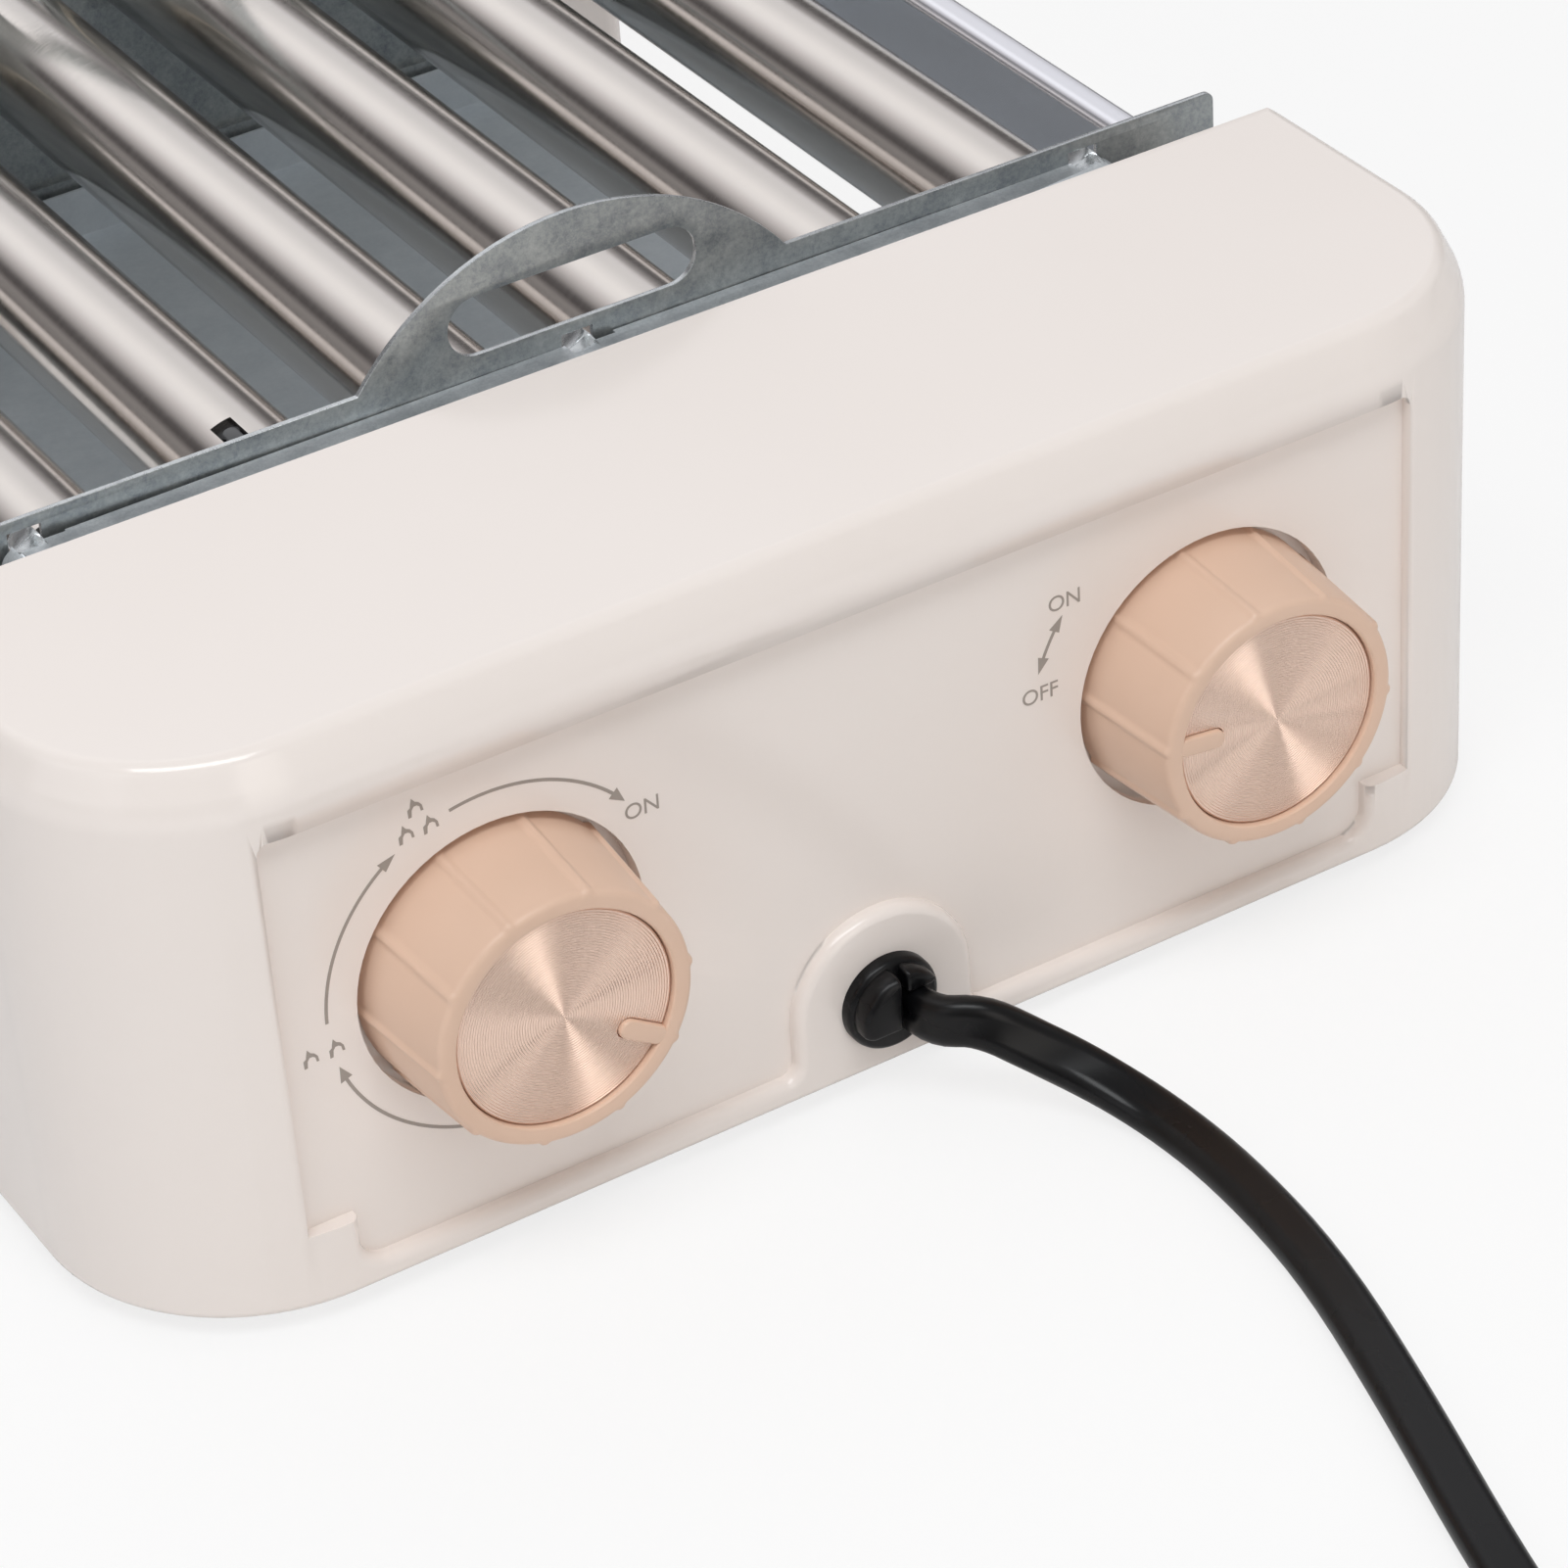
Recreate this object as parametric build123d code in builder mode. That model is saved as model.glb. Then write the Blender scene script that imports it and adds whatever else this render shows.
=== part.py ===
from build123d import *
from math import acos, atan, cos, degrees, pi, radians, sin, sqrt, tan
import os

os.makedirs("parts", exist_ok=True)

# Countertop roller grill. X runs across the rollers, Y along them, Z up.
# The control panel faces -Y. The origin lies under the middle, on the table.

# Rollers and the sheet frame
roller_count = 6
roller_pitch = 34.0
roller_diameter = 21.8
roller_wall = 0.8
axis_height = 80.0
plate_span = 190.0
sheet = 1.0
running_clearance = 0.05
seat_clearance = 0.3
overrun = 2.0

# Control panel and knobs
recess_depth = 2.5
knob_stand = 18.2
knob_spacing = 122.0
knob_drop = 31.0

# The two end plates, outer face to outer face, sit so that the whole grill is centred
knob_overhang = knob_stand - recess_depth
front_face = -(plate_span - knob_overhang) / 2
middle = front_face + plate_span / 2
mid_plane = Plane.XZ.offset(-middle)


def front_plane(out):
    # Drawn plane that faces the user, at a distance in front of the front end plate.
    # Its own origin is at roller axis height.
    return Plane(origin=(0, front_face - out, axis_height), x_dir=(1, 0, 0), z_dir=(0, -1, 0))


def save(piece, name):
    piece.part.label = name
    export_step(piece.part, f"parts/{name}.step")


roller_radius = roller_diameter / 2
roller_xs = [(k - (roller_count - 1) / 2) * roller_pitch for k in range(roller_count)]
idler_xs = [(x + roller_pitch / 2) for x in roller_xs[:-1]]

# Gears: one idler fills the pitch between two roller gears, which sets the module
roller_teeth = 18
idler_teeth = 16
motor_teeth = 14
gear_module = roller_pitch / (roller_teeth + idler_teeth)
addendum = 0.88 * gear_module
dedendum = 1.2 * gear_module
backlash = 0.3 * gear_module
pressure_angle = 20.0
gear_face = 6.0
gear_out = 3.5
gear_reach = gear_module * roller_teeth / 2 + addendum

# Gear shroud: the folded sheet box whose top shows as a ledge at the plate's foot
gear_headroom = 0.87
ledge_rise = gear_reach + gear_headroom + sheet
shroud_margin = 12.0
shroud_reach = 20.0
shroud_corner = 3.0
tab_width = 4.6
tab_root = 3.0
tab_tail = 4.0
tab_twists = [(tab_root, 0.0), (0.0, 28.0), (-tab_tail, 60.0)]
tab_slot_width = 5.4
tab_slot_height = 4.8
relief_width = 3.6
relief_depth = 1.2

# End plate: wings reach past the outer rollers, the skirt closes the shroud
side_margin = 32.7
plate_lip = 3.75
plate_half = roller_xs[-1] + side_margin
plate_rise = ledge_rise + plate_lip
wing_drop = 16.0
skirt_half = roller_xs[-1] + shroud_margin
skirt_drop = 62.0
wing_corner = 1.6
grip_half = 37.4
grip_height = 18.5
grip_rise = plate_rise + grip_height
finger_length = 43.2
finger_height = 9.9
finger_lift = 4.9
finger_rise = plate_rise + finger_lift
tab_inset = 4.6
tab_spacing = skirt_half - tab_inset

# Bushes and journals
front_journal_radius = 5.0
front_bush_wall = 1.5
bush_flange = 1.5
bush_flange_rim = 3.0
bush_gap = 0.5
neck_radius = 8.0
neck_length = 12.0
neck_cone = 2.5
rear_bush_wall = 1.5

# Moulded housings
housing_overhang = 5.8
housing_half = plate_half + housing_overhang
housing_back = 12.8
housing_front = 79.3
housing_lip = 2.0
housing_rise = plate_rise + housing_lip
housing_drop = 76.5
foot_height = axis_height - housing_drop
housing_wall = 2.5
front_corner = 33.0
back_corner = 5.0
band_inset = 3.6
band_drop = 7.2
lower_edge = 1.5
lip_edge = 1.6

housing_bottom = axis_height - housing_drop
housing_top = axis_height + housing_rise
band_bottom = housing_top - band_drop
band_angle = degrees(atan(band_inset / band_drop))


def gear_points(teeth, phase):
    # Involute flanks through three radii, thinned by the backlash
    pitch_radius = gear_module * teeth / 2
    base_radius = pitch_radius * cos(radians(pressure_angle))
    pressure = radians(pressure_angle)
    half_tooth = pi / 2 / teeth - backlash / 2 / pitch_radius

    def half_angle(radius):
        angle = acos(min(1.0, base_radius / radius))
        return half_tooth + (tan(pressure) - pressure) - (tan(angle) - angle)

    radii = [pitch_radius - dedendum, pitch_radius, pitch_radius + addendum]
    points = []
    for tooth in range(teeth):
        centre = radians(phase) + 2 * pi * tooth / teeth
        for radius in radii:
            turn = centre - half_angle(radius)
            points.append((radius * cos(turn), radius * sin(turn)))
        for radius in reversed(radii):
            turn = centre + half_angle(radius)
            points.append((radius * cos(turn), radius * sin(turn)))
    return points


# End plates: bearing sheet with the arched grip, its finger slot and the side wings
front_bush_radius = front_journal_radius + running_clearance + front_bush_wall
rear_bush_radius = neck_radius + running_clearance + rear_bush_wall
idler_pin_radius = 2.0
rail_screw_radius = 1.5
rail_outer = plate_half
rail_width = 5.4
rail_screw_x = rail_outer - rail_width / 2
rail_screw_drop = 6.0
pan_rise_drop = 54.3
pan_flange = 13.0
tab_slot_rise = ledge_rise - sheet / 2


def is_tip(edge):
    # The upper outer corner of a wing
    spot = edge.center()
    at_end = abs(abs(spot.X) - plate_half) < sheet / 10
    return at_end and abs(spot.Z - axis_height - plate_rise) < sheet / 10


def make_end_plate(bush_radius, with_pins):
    with BuildPart() as plate:
        with BuildSketch(front_plane(-sheet)):
            with BuildLine():
                Polyline(
                    (grip_half, plate_rise),
                    (plate_half, plate_rise),
                    (plate_half, -wing_drop),
                    (skirt_half, -wing_drop),
                    (skirt_half, -skirt_drop),
                    (-skirt_half, -skirt_drop),
                    (-skirt_half, -wing_drop),
                    (-plate_half, -wing_drop),
                    (-plate_half, plate_rise),
                    (-grip_half, plate_rise),
                )
                ThreePointArc((-grip_half, plate_rise), (0, grip_rise), (grip_half, plate_rise))
            make_face()
            with Locations((0, finger_rise)):
                SlotOverall(finger_length, finger_height, mode=Mode.SUBTRACT)
            with Locations([(x, 0) for x in roller_xs]):
                Circle(bush_radius, mode=Mode.SUBTRACT)
            if with_pins:
                with Locations([(x, 0) for x in idler_xs]):
                    Circle(idler_pin_radius, mode=Mode.SUBTRACT)
            with Locations([(x, tab_slot_rise) for x in (-tab_spacing, 0, tab_spacing)]):
                Rectangle(tab_slot_width, tab_slot_height, mode=Mode.SUBTRACT)
            with Locations([(x, -rail_screw_drop) for x in (-rail_screw_x, rail_screw_x)]):
                Circle(rail_screw_radius, mode=Mode.SUBTRACT)
        extrude(amount=sheet)
        tips = [e for e in plate.edges().filter_by(Axis.Y) if is_tip(e)]
        fillet(tips, wing_corner)
    return plate


front_end_plate = make_end_plate(front_bush_radius, True)
save(front_end_plate, "front_end_plate")
plain_end_plate = make_end_plate(rear_bush_radius, False)
with BuildPart() as rear_end_plate:
    mirror(plain_end_plate.part, about=mid_plane)
save(rear_end_plate, "rear_end_plate")


# Gear shroud, with three tabs that go through the plate and are twisted behind it
with BuildPart() as front_gear_shroud:
    with BuildSketch(front_plane(0)) as ring:
        with Locations((0, (ledge_rise - skirt_drop) / 2)):
            RectangleRounded(2 * skirt_half, ledge_rise + skirt_drop, shroud_corner)
            RectangleRounded(
                2 * (skirt_half - sheet),
                ledge_rise + skirt_drop - 2 * sheet,
                shroud_corner - sheet,
                mode=Mode.SUBTRACT,
            )
    extrude(amount=shroud_reach)
    for x in (-tab_spacing, 0, tab_spacing):
        with BuildSketch(front_plane(relief_depth)):
            with Locations((x + tab_width / 2 + relief_width / 2, tab_slot_rise)):
                Rectangle(relief_width, sheet + overrun)
        extrude(amount=-relief_depth, mode=Mode.SUBTRACT)
        with BuildSketch(front_plane(tab_root)):
            with Locations((x, tab_slot_rise)):
                Rectangle(tab_width, tab_slot_height)
        extrude(amount=-tab_root, mode=Mode.SUBTRACT)
        with BuildPart(mode=Mode.PRIVATE) as tab:
            for out, twist in tab_twists:
                with BuildSketch(front_plane(out)):
                    with Locations(Location((x, tab_slot_rise), twist)):
                        Rectangle(tab_width, sheet)
            loft(ruled=True)
        add(tab.part)
save(front_gear_shroud, "front_gear_shroud")
with BuildPart() as rear_shroud:
    mirror(front_gear_shroud.part, about=mid_plane)
save(rear_shroud, "rear_shroud")


# Moulded end housings
def plan_face(height, inset, back):
    # Plan outline with the two big front corners, open-ended towards the rollers
    near = front_face - housing_front + inset
    with BuildSketch(Plane.XY.offset(height)) as plan:
        with Locations((0, (near + back) / 2)):
            Rectangle(2 * (housing_half - inset), back - near)
        fillet(plan.vertices().group_by(Axis.Y)[0], front_corner - inset)
    return plan.sketch


housing_back_y = front_face - housing_back
long_back_y = housing_back_y + 2 * front_corner
cavity_back_y = housing_back_y - housing_wall
front_wall = housing_wall + recess_depth
boss_radius = 4.0
boss_bore = 1.3
boss_drop = 34.0
boss_top = axis_height - boss_drop
boss_out = 24.0
boss_wall_share = 0.8
boss_corner_share = 0.85
cavity_corner = front_corner - front_wall
corner_reach = (cavity_corner - boss_corner_share * boss_radius) / sqrt(2)
boss_places = [
    (housing_half - housing_wall - boss_wall_share * boss_radius, front_face - boss_out),
    (
        housing_half - housing_wall - cavity_corner + corner_reach,
        front_face - housing_front + front_wall + cavity_corner - corner_reach,
    ),
]
boss_all = [(side * x, y) for x, y in boss_places for side in (-1, 1)]
cover_thickness = 2.5
cover_top = housing_bottom + cover_thickness


def make_housing():
    with BuildPart() as shell:
        extrude(plan_face(housing_bottom, 0, long_back_y), amount=band_bottom - housing_bottom)
        extrude(plan_face(band_bottom, 0, long_back_y), amount=band_drop, taper=band_angle)
        with BuildSketch(Plane.XY.offset(housing_bottom)) as prism:
            near = front_face - housing_front - overrun
            with Locations((0, (near + housing_back_y) / 2)):
                Rectangle(2 * housing_half, housing_back_y - near)
            fillet(prism.vertices().group_by(Axis.Y)[-1], back_corner)
        extrude(amount=housing_top - housing_bottom + overrun, mode=Mode.INTERSECT)
        fillet(shell.faces().sort_by(Axis.Z)[0].outer_wire().edges(), lower_edge)
        inset = housing_wall
        with BuildSketch(Plane.XY.offset(housing_bottom)) as room:
            near = front_face - housing_front + front_wall
            with Locations((0, (near + cavity_back_y) / 2)):
                Rectangle(2 * (housing_half - inset), cavity_back_y - near)
            fillet(room.vertices().group_by(Axis.Y)[0], cavity_corner)
            fillet(room.vertices().group_by(Axis.Y)[-1], back_corner - inset)
        extrude(amount=band_bottom - housing_bottom, mode=Mode.SUBTRACT)
        with BuildSketch(Plane.XY.offset(band_bottom)) as attic:
            near = front_face - housing_front + front_wall
            back = cavity_back_y - band_inset
            with Locations((0, (near + back) / 2)):
                Rectangle(2 * (housing_half - inset), back - near)
            fillet(attic.vertices().group_by(Axis.Y)[0], cavity_corner)
        extrude(amount=band_drop - housing_wall, taper=band_angle, mode=Mode.SUBTRACT)
        with BuildSketch(Plane.XY.offset(band_bottom)):
            near = cavity_back_y - front_corner
            with Locations((0, (near + cavity_back_y) / 2)):
                Rectangle(2 * (housing_half - inset - band_inset), cavity_back_y - near)
        extrude(amount=band_drop - housing_wall, mode=Mode.SUBTRACT)
        with BuildSketch(front_plane(housing_back - overrun)):
            with Locations((0, (ledge_rise - skirt_drop) / 2)):
                RectangleRounded(
                    2 * (skirt_half + seat_clearance),
                    ledge_rise + skirt_drop + 2 * seat_clearance,
                    shroud_corner + seat_clearance,
                )
        extrude(amount=housing_wall + 2 * overrun, mode=Mode.SUBTRACT)
        with BuildSketch(Plane.XY.offset(cover_top)):
            with Locations(boss_all):
                Circle(boss_radius)
        extrude(amount=boss_top - cover_top)
        with BuildSketch(Plane.XY.offset(cover_top)):
            with Locations(boss_all):
                Circle(boss_bore)
        extrude(amount=boss_top - cover_top - overrun, mode=Mode.SUBTRACT)
    return shell


# Control panel: a recessed field with stepped lower corners and a tongue round the gland
panel_margin = 26.5
panel_half = housing_half - panel_margin
panel_rise = 4.5
panel_corner = 2.0
step_drop = 63.5
step_width = 8.0
step_half = panel_half - step_width
panel_drop = 72.4
panel_lower_corner = 4.5
gland_drop = 64.0
gland_radius = 7.9
tongue_radius = 15.5
tongue_foot = 2.4
well_radius = 22.6
well_depth = 2.0
knob_xs = (-knob_spacing / 2, knob_spacing / 2)
knob_places = [(x, -knob_drop) for x in knob_xs]
shaft_hole_radius = 4.0
gland_neck_radius = 6.3
panel_out = housing_front - recess_depth
well_out = panel_out - well_depth
pad_out = housing_front - front_wall
lip_share = 0.8


def is_lip(edge):
    # The recess's lower edge and the tongue's outline, on the front face
    spot = edge.center()
    at_front = abs(spot.Y - front_face + housing_front) < sheet / 10
    rise = spot.Z - axis_height
    on_lip = abs(rise + panel_drop) < sheet / 10 and abs(spot.X) < step_half - panel_lower_corner
    reach = sqrt(spot.X**2 + (rise + gland_drop) ** 2)
    on_side = abs(abs(spot.X) - tongue_radius) < sheet / 10 and rise < -gland_drop
    on_arc = reach < tongue_radius + sheet and rise > -panel_drop and reach > gland_radius + sheet
    return at_front and (on_lip or on_side or on_arc)


with BuildPart() as front_housing:
    add(make_housing().part)
    pad_radius = well_radius + housing_wall
    with BuildSketch(front_plane(pad_out - well_depth)):
        with Locations(knob_places):
            Circle(pad_radius)
    extrude(amount=2 * well_depth)
    with BuildSketch(front_plane(housing_front)) as field:
        with Locations((0, (panel_rise - step_drop) / 2)):
            Rectangle(2 * panel_half, panel_rise + step_drop)
        fillet(field.vertices().group_by(Axis.Y)[-1], panel_corner)
        with Locations((0, -(step_drop + panel_drop) / 2)):
            Rectangle(2 * step_half, panel_drop - step_drop)
        fillet(field.vertices().group_by(Axis.Y)[0], panel_lower_corner)
        with BuildSketch(front_plane(housing_front), mode=Mode.PRIVATE) as tongue:
            with Locations((0, -gland_drop)):
                Circle(tongue_radius)
            with Locations((0, -(gland_drop + panel_drop + overrun) / 2)):
                Rectangle(2 * tongue_radius, panel_drop + overrun - gland_drop)
        add(tongue.sketch_local, mode=Mode.SUBTRACT)
        feet = [v for v in field.vertices() if abs(abs(v.X) - tongue_radius) < seat_clearance]
        fillet([v for v in feet if v.Y < -gland_drop - tongue_foot], tongue_foot)
    extrude(amount=-recess_depth, mode=Mode.SUBTRACT)
    with BuildSketch(front_plane(panel_out)):
        with Locations(knob_places):
            Circle(well_radius)
    extrude(amount=-well_depth, mode=Mode.SUBTRACT)
    with BuildSketch(front_plane(panel_out)):
        with Locations(knob_places):
            Circle(shaft_hole_radius)
        with Locations((0, -gland_drop)):
            Circle(gland_neck_radius)
    extrude(amount=overrun + recess_depth, mode=Mode.SUBTRACT)
    with BuildSketch(front_plane(panel_out)):
        with Locations(knob_places):
            Circle(shaft_hole_radius)
        with Locations((0, -gland_drop)):
            Circle(gland_neck_radius)
    extrude(amount=-(housing_wall + 2 * well_depth + overrun), mode=Mode.SUBTRACT)
    lips = [e for e in front_housing.edges() if is_lip(e)]
    fillet(lips, min(lip_edge, lip_share * recess_depth))
save(front_housing, "front_housing")

with BuildPart() as rear_housing:
    mirror(make_housing().part, about=mid_plane)
save(rear_housing, "rear_housing")


# Base covers close the housings from below, with air slots
cover_inset = housing_wall + seat_clearance
foot_radius = 8.0
foot_draft_angle = -3.5
foot_peg = 2.5
foot_inset = 31.5
foot_out = 58.0
foot_places = [(side * (housing_half - foot_inset), front_face - foot_out) for side in (-1, 1)]
slot_length = 26.0
slot_width = 3.0
slot_pitch = 8.0
slot_rows = 4
slot_centre = 46.0
screw_radius = boss_bore
screw_head = 2.6
screw_head_height = 1.8
screw_length = 12.0

with BuildPart() as front_base_cover:
    with BuildSketch(Plane.XY.offset(housing_bottom)) as floor_face:
        near = front_face - housing_front + front_wall + seat_clearance
        back = cavity_back_y - seat_clearance
        with Locations((0, (near + back) / 2)):
            Rectangle(2 * (housing_half - cover_inset), back - near)
        fillet(floor_face.vertices().group_by(Axis.Y)[0], front_corner - front_wall)
        fillet(floor_face.vertices().group_by(Axis.Y)[-1], back_corner - housing_wall)
        with Locations(foot_places):
            Circle(foot_peg, mode=Mode.SUBTRACT)
        with Locations(boss_all):
            Circle(screw_radius, mode=Mode.SUBTRACT)
        with Locations((0, front_face - slot_centre)):
            with GridLocations(2 * slot_length, slot_pitch, 2, slot_rows):
                SlotOverall(slot_length, slot_width, mode=Mode.SUBTRACT)
    extrude(amount=cover_thickness)
    with BuildSketch(Plane.XY.offset(housing_bottom)):
        with Locations(boss_all):
            Circle(screw_head + seat_clearance)
    extrude(amount=screw_head_height, mode=Mode.SUBTRACT)
save(front_base_cover, "front_base_cover")
with BuildPart() as rear_base_cover:
    mirror(front_base_cover.part, about=mid_plane)
save(rear_base_cover, "rear_base_cover")

with BuildPart() as base_screws:
    with BuildSketch(Plane.XY.offset(housing_bottom)):
        with Locations(boss_all):
            Circle(screw_head)
    extrude(amount=screw_head_height)
    with BuildSketch(Plane.XY.offset(housing_bottom)):
        with Locations(boss_all):
            Circle(screw_radius)
    extrude(amount=screw_length)
    mirror(about=mid_plane)
save(base_screws, "base_screws")

with BuildPart() as rubber_feet:
    with BuildSketch(Plane.XY):
        with Locations(foot_places):
            Circle(foot_radius)
    extrude(amount=foot_height, taper=foot_draft_angle)
    with BuildSketch(Plane.XY.offset(foot_height)):
        with Locations(foot_places):
            Circle(foot_peg)
    extrude(amount=cover_thickness + seat_clearance)
    mirror(about=mid_plane)
save(rubber_feet, "rubber_feet")


# Side rails: inverted channels between the wings, with closed ends that take the screws
rail_rise = 2.0
rail_shoulder = 1.4
rail_top_width = 4.2
rail_drop = 13.0
rail_face_y = front_face + sheet
rail_end = 8.0
rail_ceiling = rail_rise - rail_shoulder - sheet


def make_rail(side):
    outer = side * rail_outer
    inner = side * (rail_outer - rail_width)
    crest = side * (rail_outer - rail_top_width)
    with BuildPart() as rail:
        with BuildSketch(front_plane(-sheet)):
            with BuildLine():
                Polyline(
                    (outer, -rail_drop),
                    (outer, rail_rise),
                    (crest, rail_rise),
                    (inner, rail_rise - rail_shoulder),
                    (inner, -rail_drop),
                    close=True,
                )
            make_face()
        extrude(amount=-(plate_span - 2 * sheet))
        with BuildSketch(front_plane(-sheet - sheet)):
            with Locations((side * rail_screw_x, (rail_ceiling - rail_drop - sheet) / 2)):
                Rectangle(rail_width - 2 * sheet, rail_ceiling + rail_drop + sheet)
        extrude(amount=-(plate_span - 4 * sheet), mode=Mode.SUBTRACT)
        with BuildSketch(front_plane(0)):
            with Locations((side * rail_screw_x, -rail_screw_drop)):
                Circle(rail_screw_radius)
        extrude(amount=-plate_span, mode=Mode.SUBTRACT)
    return rail


left_side_rail = make_rail(-1)
save(left_side_rail, "left_side_rail")
right_side_rail = make_rail(1)
save(right_side_rail, "right_side_rail")

with BuildPart() as rail_screws:
    with BuildSketch(front_plane(0)):
        with Locations([(x, -rail_screw_drop) for x in (-rail_screw_x, rail_screw_x)]):
            Circle(screw_head)
    extrude(amount=screw_head_height)
    with BuildSketch(front_plane(0)):
        with Locations([(x, -rail_screw_drop) for x in (-rail_screw_x, rail_screw_x)]):
            Circle(rail_screw_radius)
    extrude(amount=-rail_end)
    mirror(about=mid_plane)
save(rail_screws, "rail_screws")


# Base pan between the plates, and the drip tray that slides on it
pan_side_gap = 1.0
pan_half = skirt_half - pan_side_gap
tray_margin = 13.0
tray_half = roller_xs[-1] + tray_margin
tray_sheet = 0.8
tray_wall = 10.0
tray_gap = 1.0

pan_top = axis_height - pan_rise_drop + sheet
with BuildPart() as base_pan:
    with BuildSketch(Plane.YZ.offset(-pan_half)):
        near = front_face + sheet
        far = front_face + plate_span - sheet
        with Locations((middle, pan_top - sheet / 2)):
            Rectangle(far - near, sheet)
        for wall_y in (near + sheet / 2, far - sheet / 2):
            with Locations((wall_y, pan_top - sheet + pan_flange / 2)):
                Rectangle(sheet, pan_flange)
    extrude(amount=2 * pan_half)
save(base_pan, "base_pan")

tray_length = plate_span - 4 * sheet - 2 * tray_gap
tray_bottom = pan_top + seat_clearance
with BuildPart() as drip_tray:
    with BuildSketch(Plane.XY.offset(tray_bottom)):
        with Locations((0, middle)):
            RectangleRounded(2 * tray_half, tray_length, 4 * tray_sheet)
    extrude(amount=tray_wall)
    with BuildSketch(Plane.XY.offset(tray_bottom + tray_sheet)):
        with Locations((0, middle)):
            RectangleRounded(
                2 * (tray_half - tray_sheet), tray_length - 2 * tray_sheet, 3 * tray_sheet
            )
    extrude(amount=tray_wall, mode=Mode.SUBTRACT)
save(drip_tray, "drip_tray")


# Rollers: stainless tubes, notched in front for the drive lug and necked behind
hub_collar = 1.2
collar_out = -sheet - bush_flange - bush_gap
tube_out = collar_out - hub_collar
tube_end = plate_span - sheet - bush_flange - bush_gap - neck_cone
notch_out = -10.8
notch_length = 6.5
notch_width = 3.6
notch_turns = [200.0, 105.0, 141.0, 275.0, 318.0, 232.0, 20.0, 60.0, 350.0, 168.0]
lug_height = 0.5
hub_plug = 13.0


def make_tube(x, turn):
    bore = roller_radius - roller_wall
    start = front_face - tube_out
    stop = front_face + tube_end
    with BuildPart() as tube:
        with BuildSketch(Plane((x, 0, axis_height), x_dir=(1, 0, 0), z_dir=(0, 0, 1))):
            with BuildLine():
                Polyline(
                    (bore, start),
                    (roller_radius, start),
                    (roller_radius, stop),
                    (neck_radius, stop + neck_cone),
                    (neck_radius, stop + neck_length),
                    (neck_radius - roller_wall, stop + neck_length),
                    (neck_radius - roller_wall, stop + neck_cone),
                    (bore, stop),
                    close=True,
                )
            make_face()
        revolve(axis=Axis((x, 0, axis_height), (0, 1, 0)))
        cutter = Plane(
            origin=(x, front_face - notch_out, axis_height),
            x_dir=(0, 1, 0),
            z_dir=(cos(radians(turn)), 0, sin(radians(turn))),
        )
        with BuildSketch(cutter.offset(bore - overrun)):
            Rectangle(notch_length, notch_width)
        extrude(amount=roller_wall + 2 * overrun, mode=Mode.SUBTRACT)
    return tube


# Drive hubs: plug with lug, collar, journal and gear in one moulding
hub_radius = roller_radius - roller_wall
hub_socket = 6.0
lug_radius = 1.5


def make_hub(x, turn):
    with BuildPart() as hub:
        with BuildSketch(front_plane(tube_out)):
            with Locations((x, 0)):
                Circle(hub_radius)
        extrude(amount=-hub_plug)
        with BuildSketch(front_plane(tube_out)):
            with Locations((x, 0)):
                Circle(roller_radius)
        extrude(amount=hub_collar)
        with BuildSketch(front_plane(collar_out)):
            with Locations((x, 0)):
                Circle(front_journal_radius)
        extrude(amount=gear_out - collar_out)
        with BuildSketch(front_plane(gear_out)):
            with BuildLine(Location((x, 0))):
                Polyline(*gear_points(roller_teeth, 0), close=True)
            make_face()
        extrude(amount=gear_face)
        lug = Plane(
            origin=(x, front_face - notch_out, axis_height),
            x_dir=(0, 1, 0),
            z_dir=(cos(radians(turn)), 0, sin(radians(turn))),
        )
        with BuildSketch(lug.offset(hub_radius - overrun)):
            Circle(lug_radius)
        extrude(amount=overrun + lug_height)
        with BuildSketch(front_plane(tube_out - hub_plug)):
            with Locations((x, 0)):
                Circle(hub_socket)
        extrude(amount=hub_plug - overrun, mode=Mode.SUBTRACT)
    return hub


for k, x in enumerate(roller_xs):
    turn = notch_turns[k % len(notch_turns)]
    save(make_tube(x, turn), f"roller_tube_{k + 1}")
    save(make_hub(x, turn), f"drive_hub_{k + 1}")


# Bushes in the plates, front and rear
with BuildPart() as front_bushes:
    places = [(x, 0) for x in roller_xs]
    with BuildSketch(front_plane(-sheet - bush_flange)):
        with Locations(places):
            Circle(front_bush_radius + bush_flange_rim)
            Circle(front_journal_radius + running_clearance, mode=Mode.SUBTRACT)
    extrude(amount=bush_flange)
    with BuildSketch(front_plane(-sheet)):
        with Locations(places):
            Circle(front_bush_radius)
            Circle(front_journal_radius + running_clearance, mode=Mode.SUBTRACT)
    extrude(amount=sheet + bush_flange)
save(front_bushes, "front_bushes")

with BuildPart() as plain_bushes:
    rear_flange = min(rear_bush_radius + bush_flange_rim / 2, plate_rise - sheet)
    with BuildSketch(front_plane(-sheet - bush_flange)):
        with Locations(places):
            Circle(rear_flange)
            Circle(neck_radius + running_clearance, mode=Mode.SUBTRACT)
    extrude(amount=bush_flange)
    with BuildSketch(front_plane(-sheet)):
        with Locations(places):
            Circle(rear_bush_radius)
            Circle(neck_radius + running_clearance, mode=Mode.SUBTRACT)
    extrude(amount=sheet + bush_flange)
with BuildPart() as rear_bushes:
    mirror(plain_bushes.part, about=mid_plane)
save(rear_bushes, "rear_bushes")


# Idler gears between the roller gears, on fixed pins
pin_head_radius = 3.6
pin_head = 1.2
pin_collar = 0.3
idler_bore = idler_pin_radius + running_clearance


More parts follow.
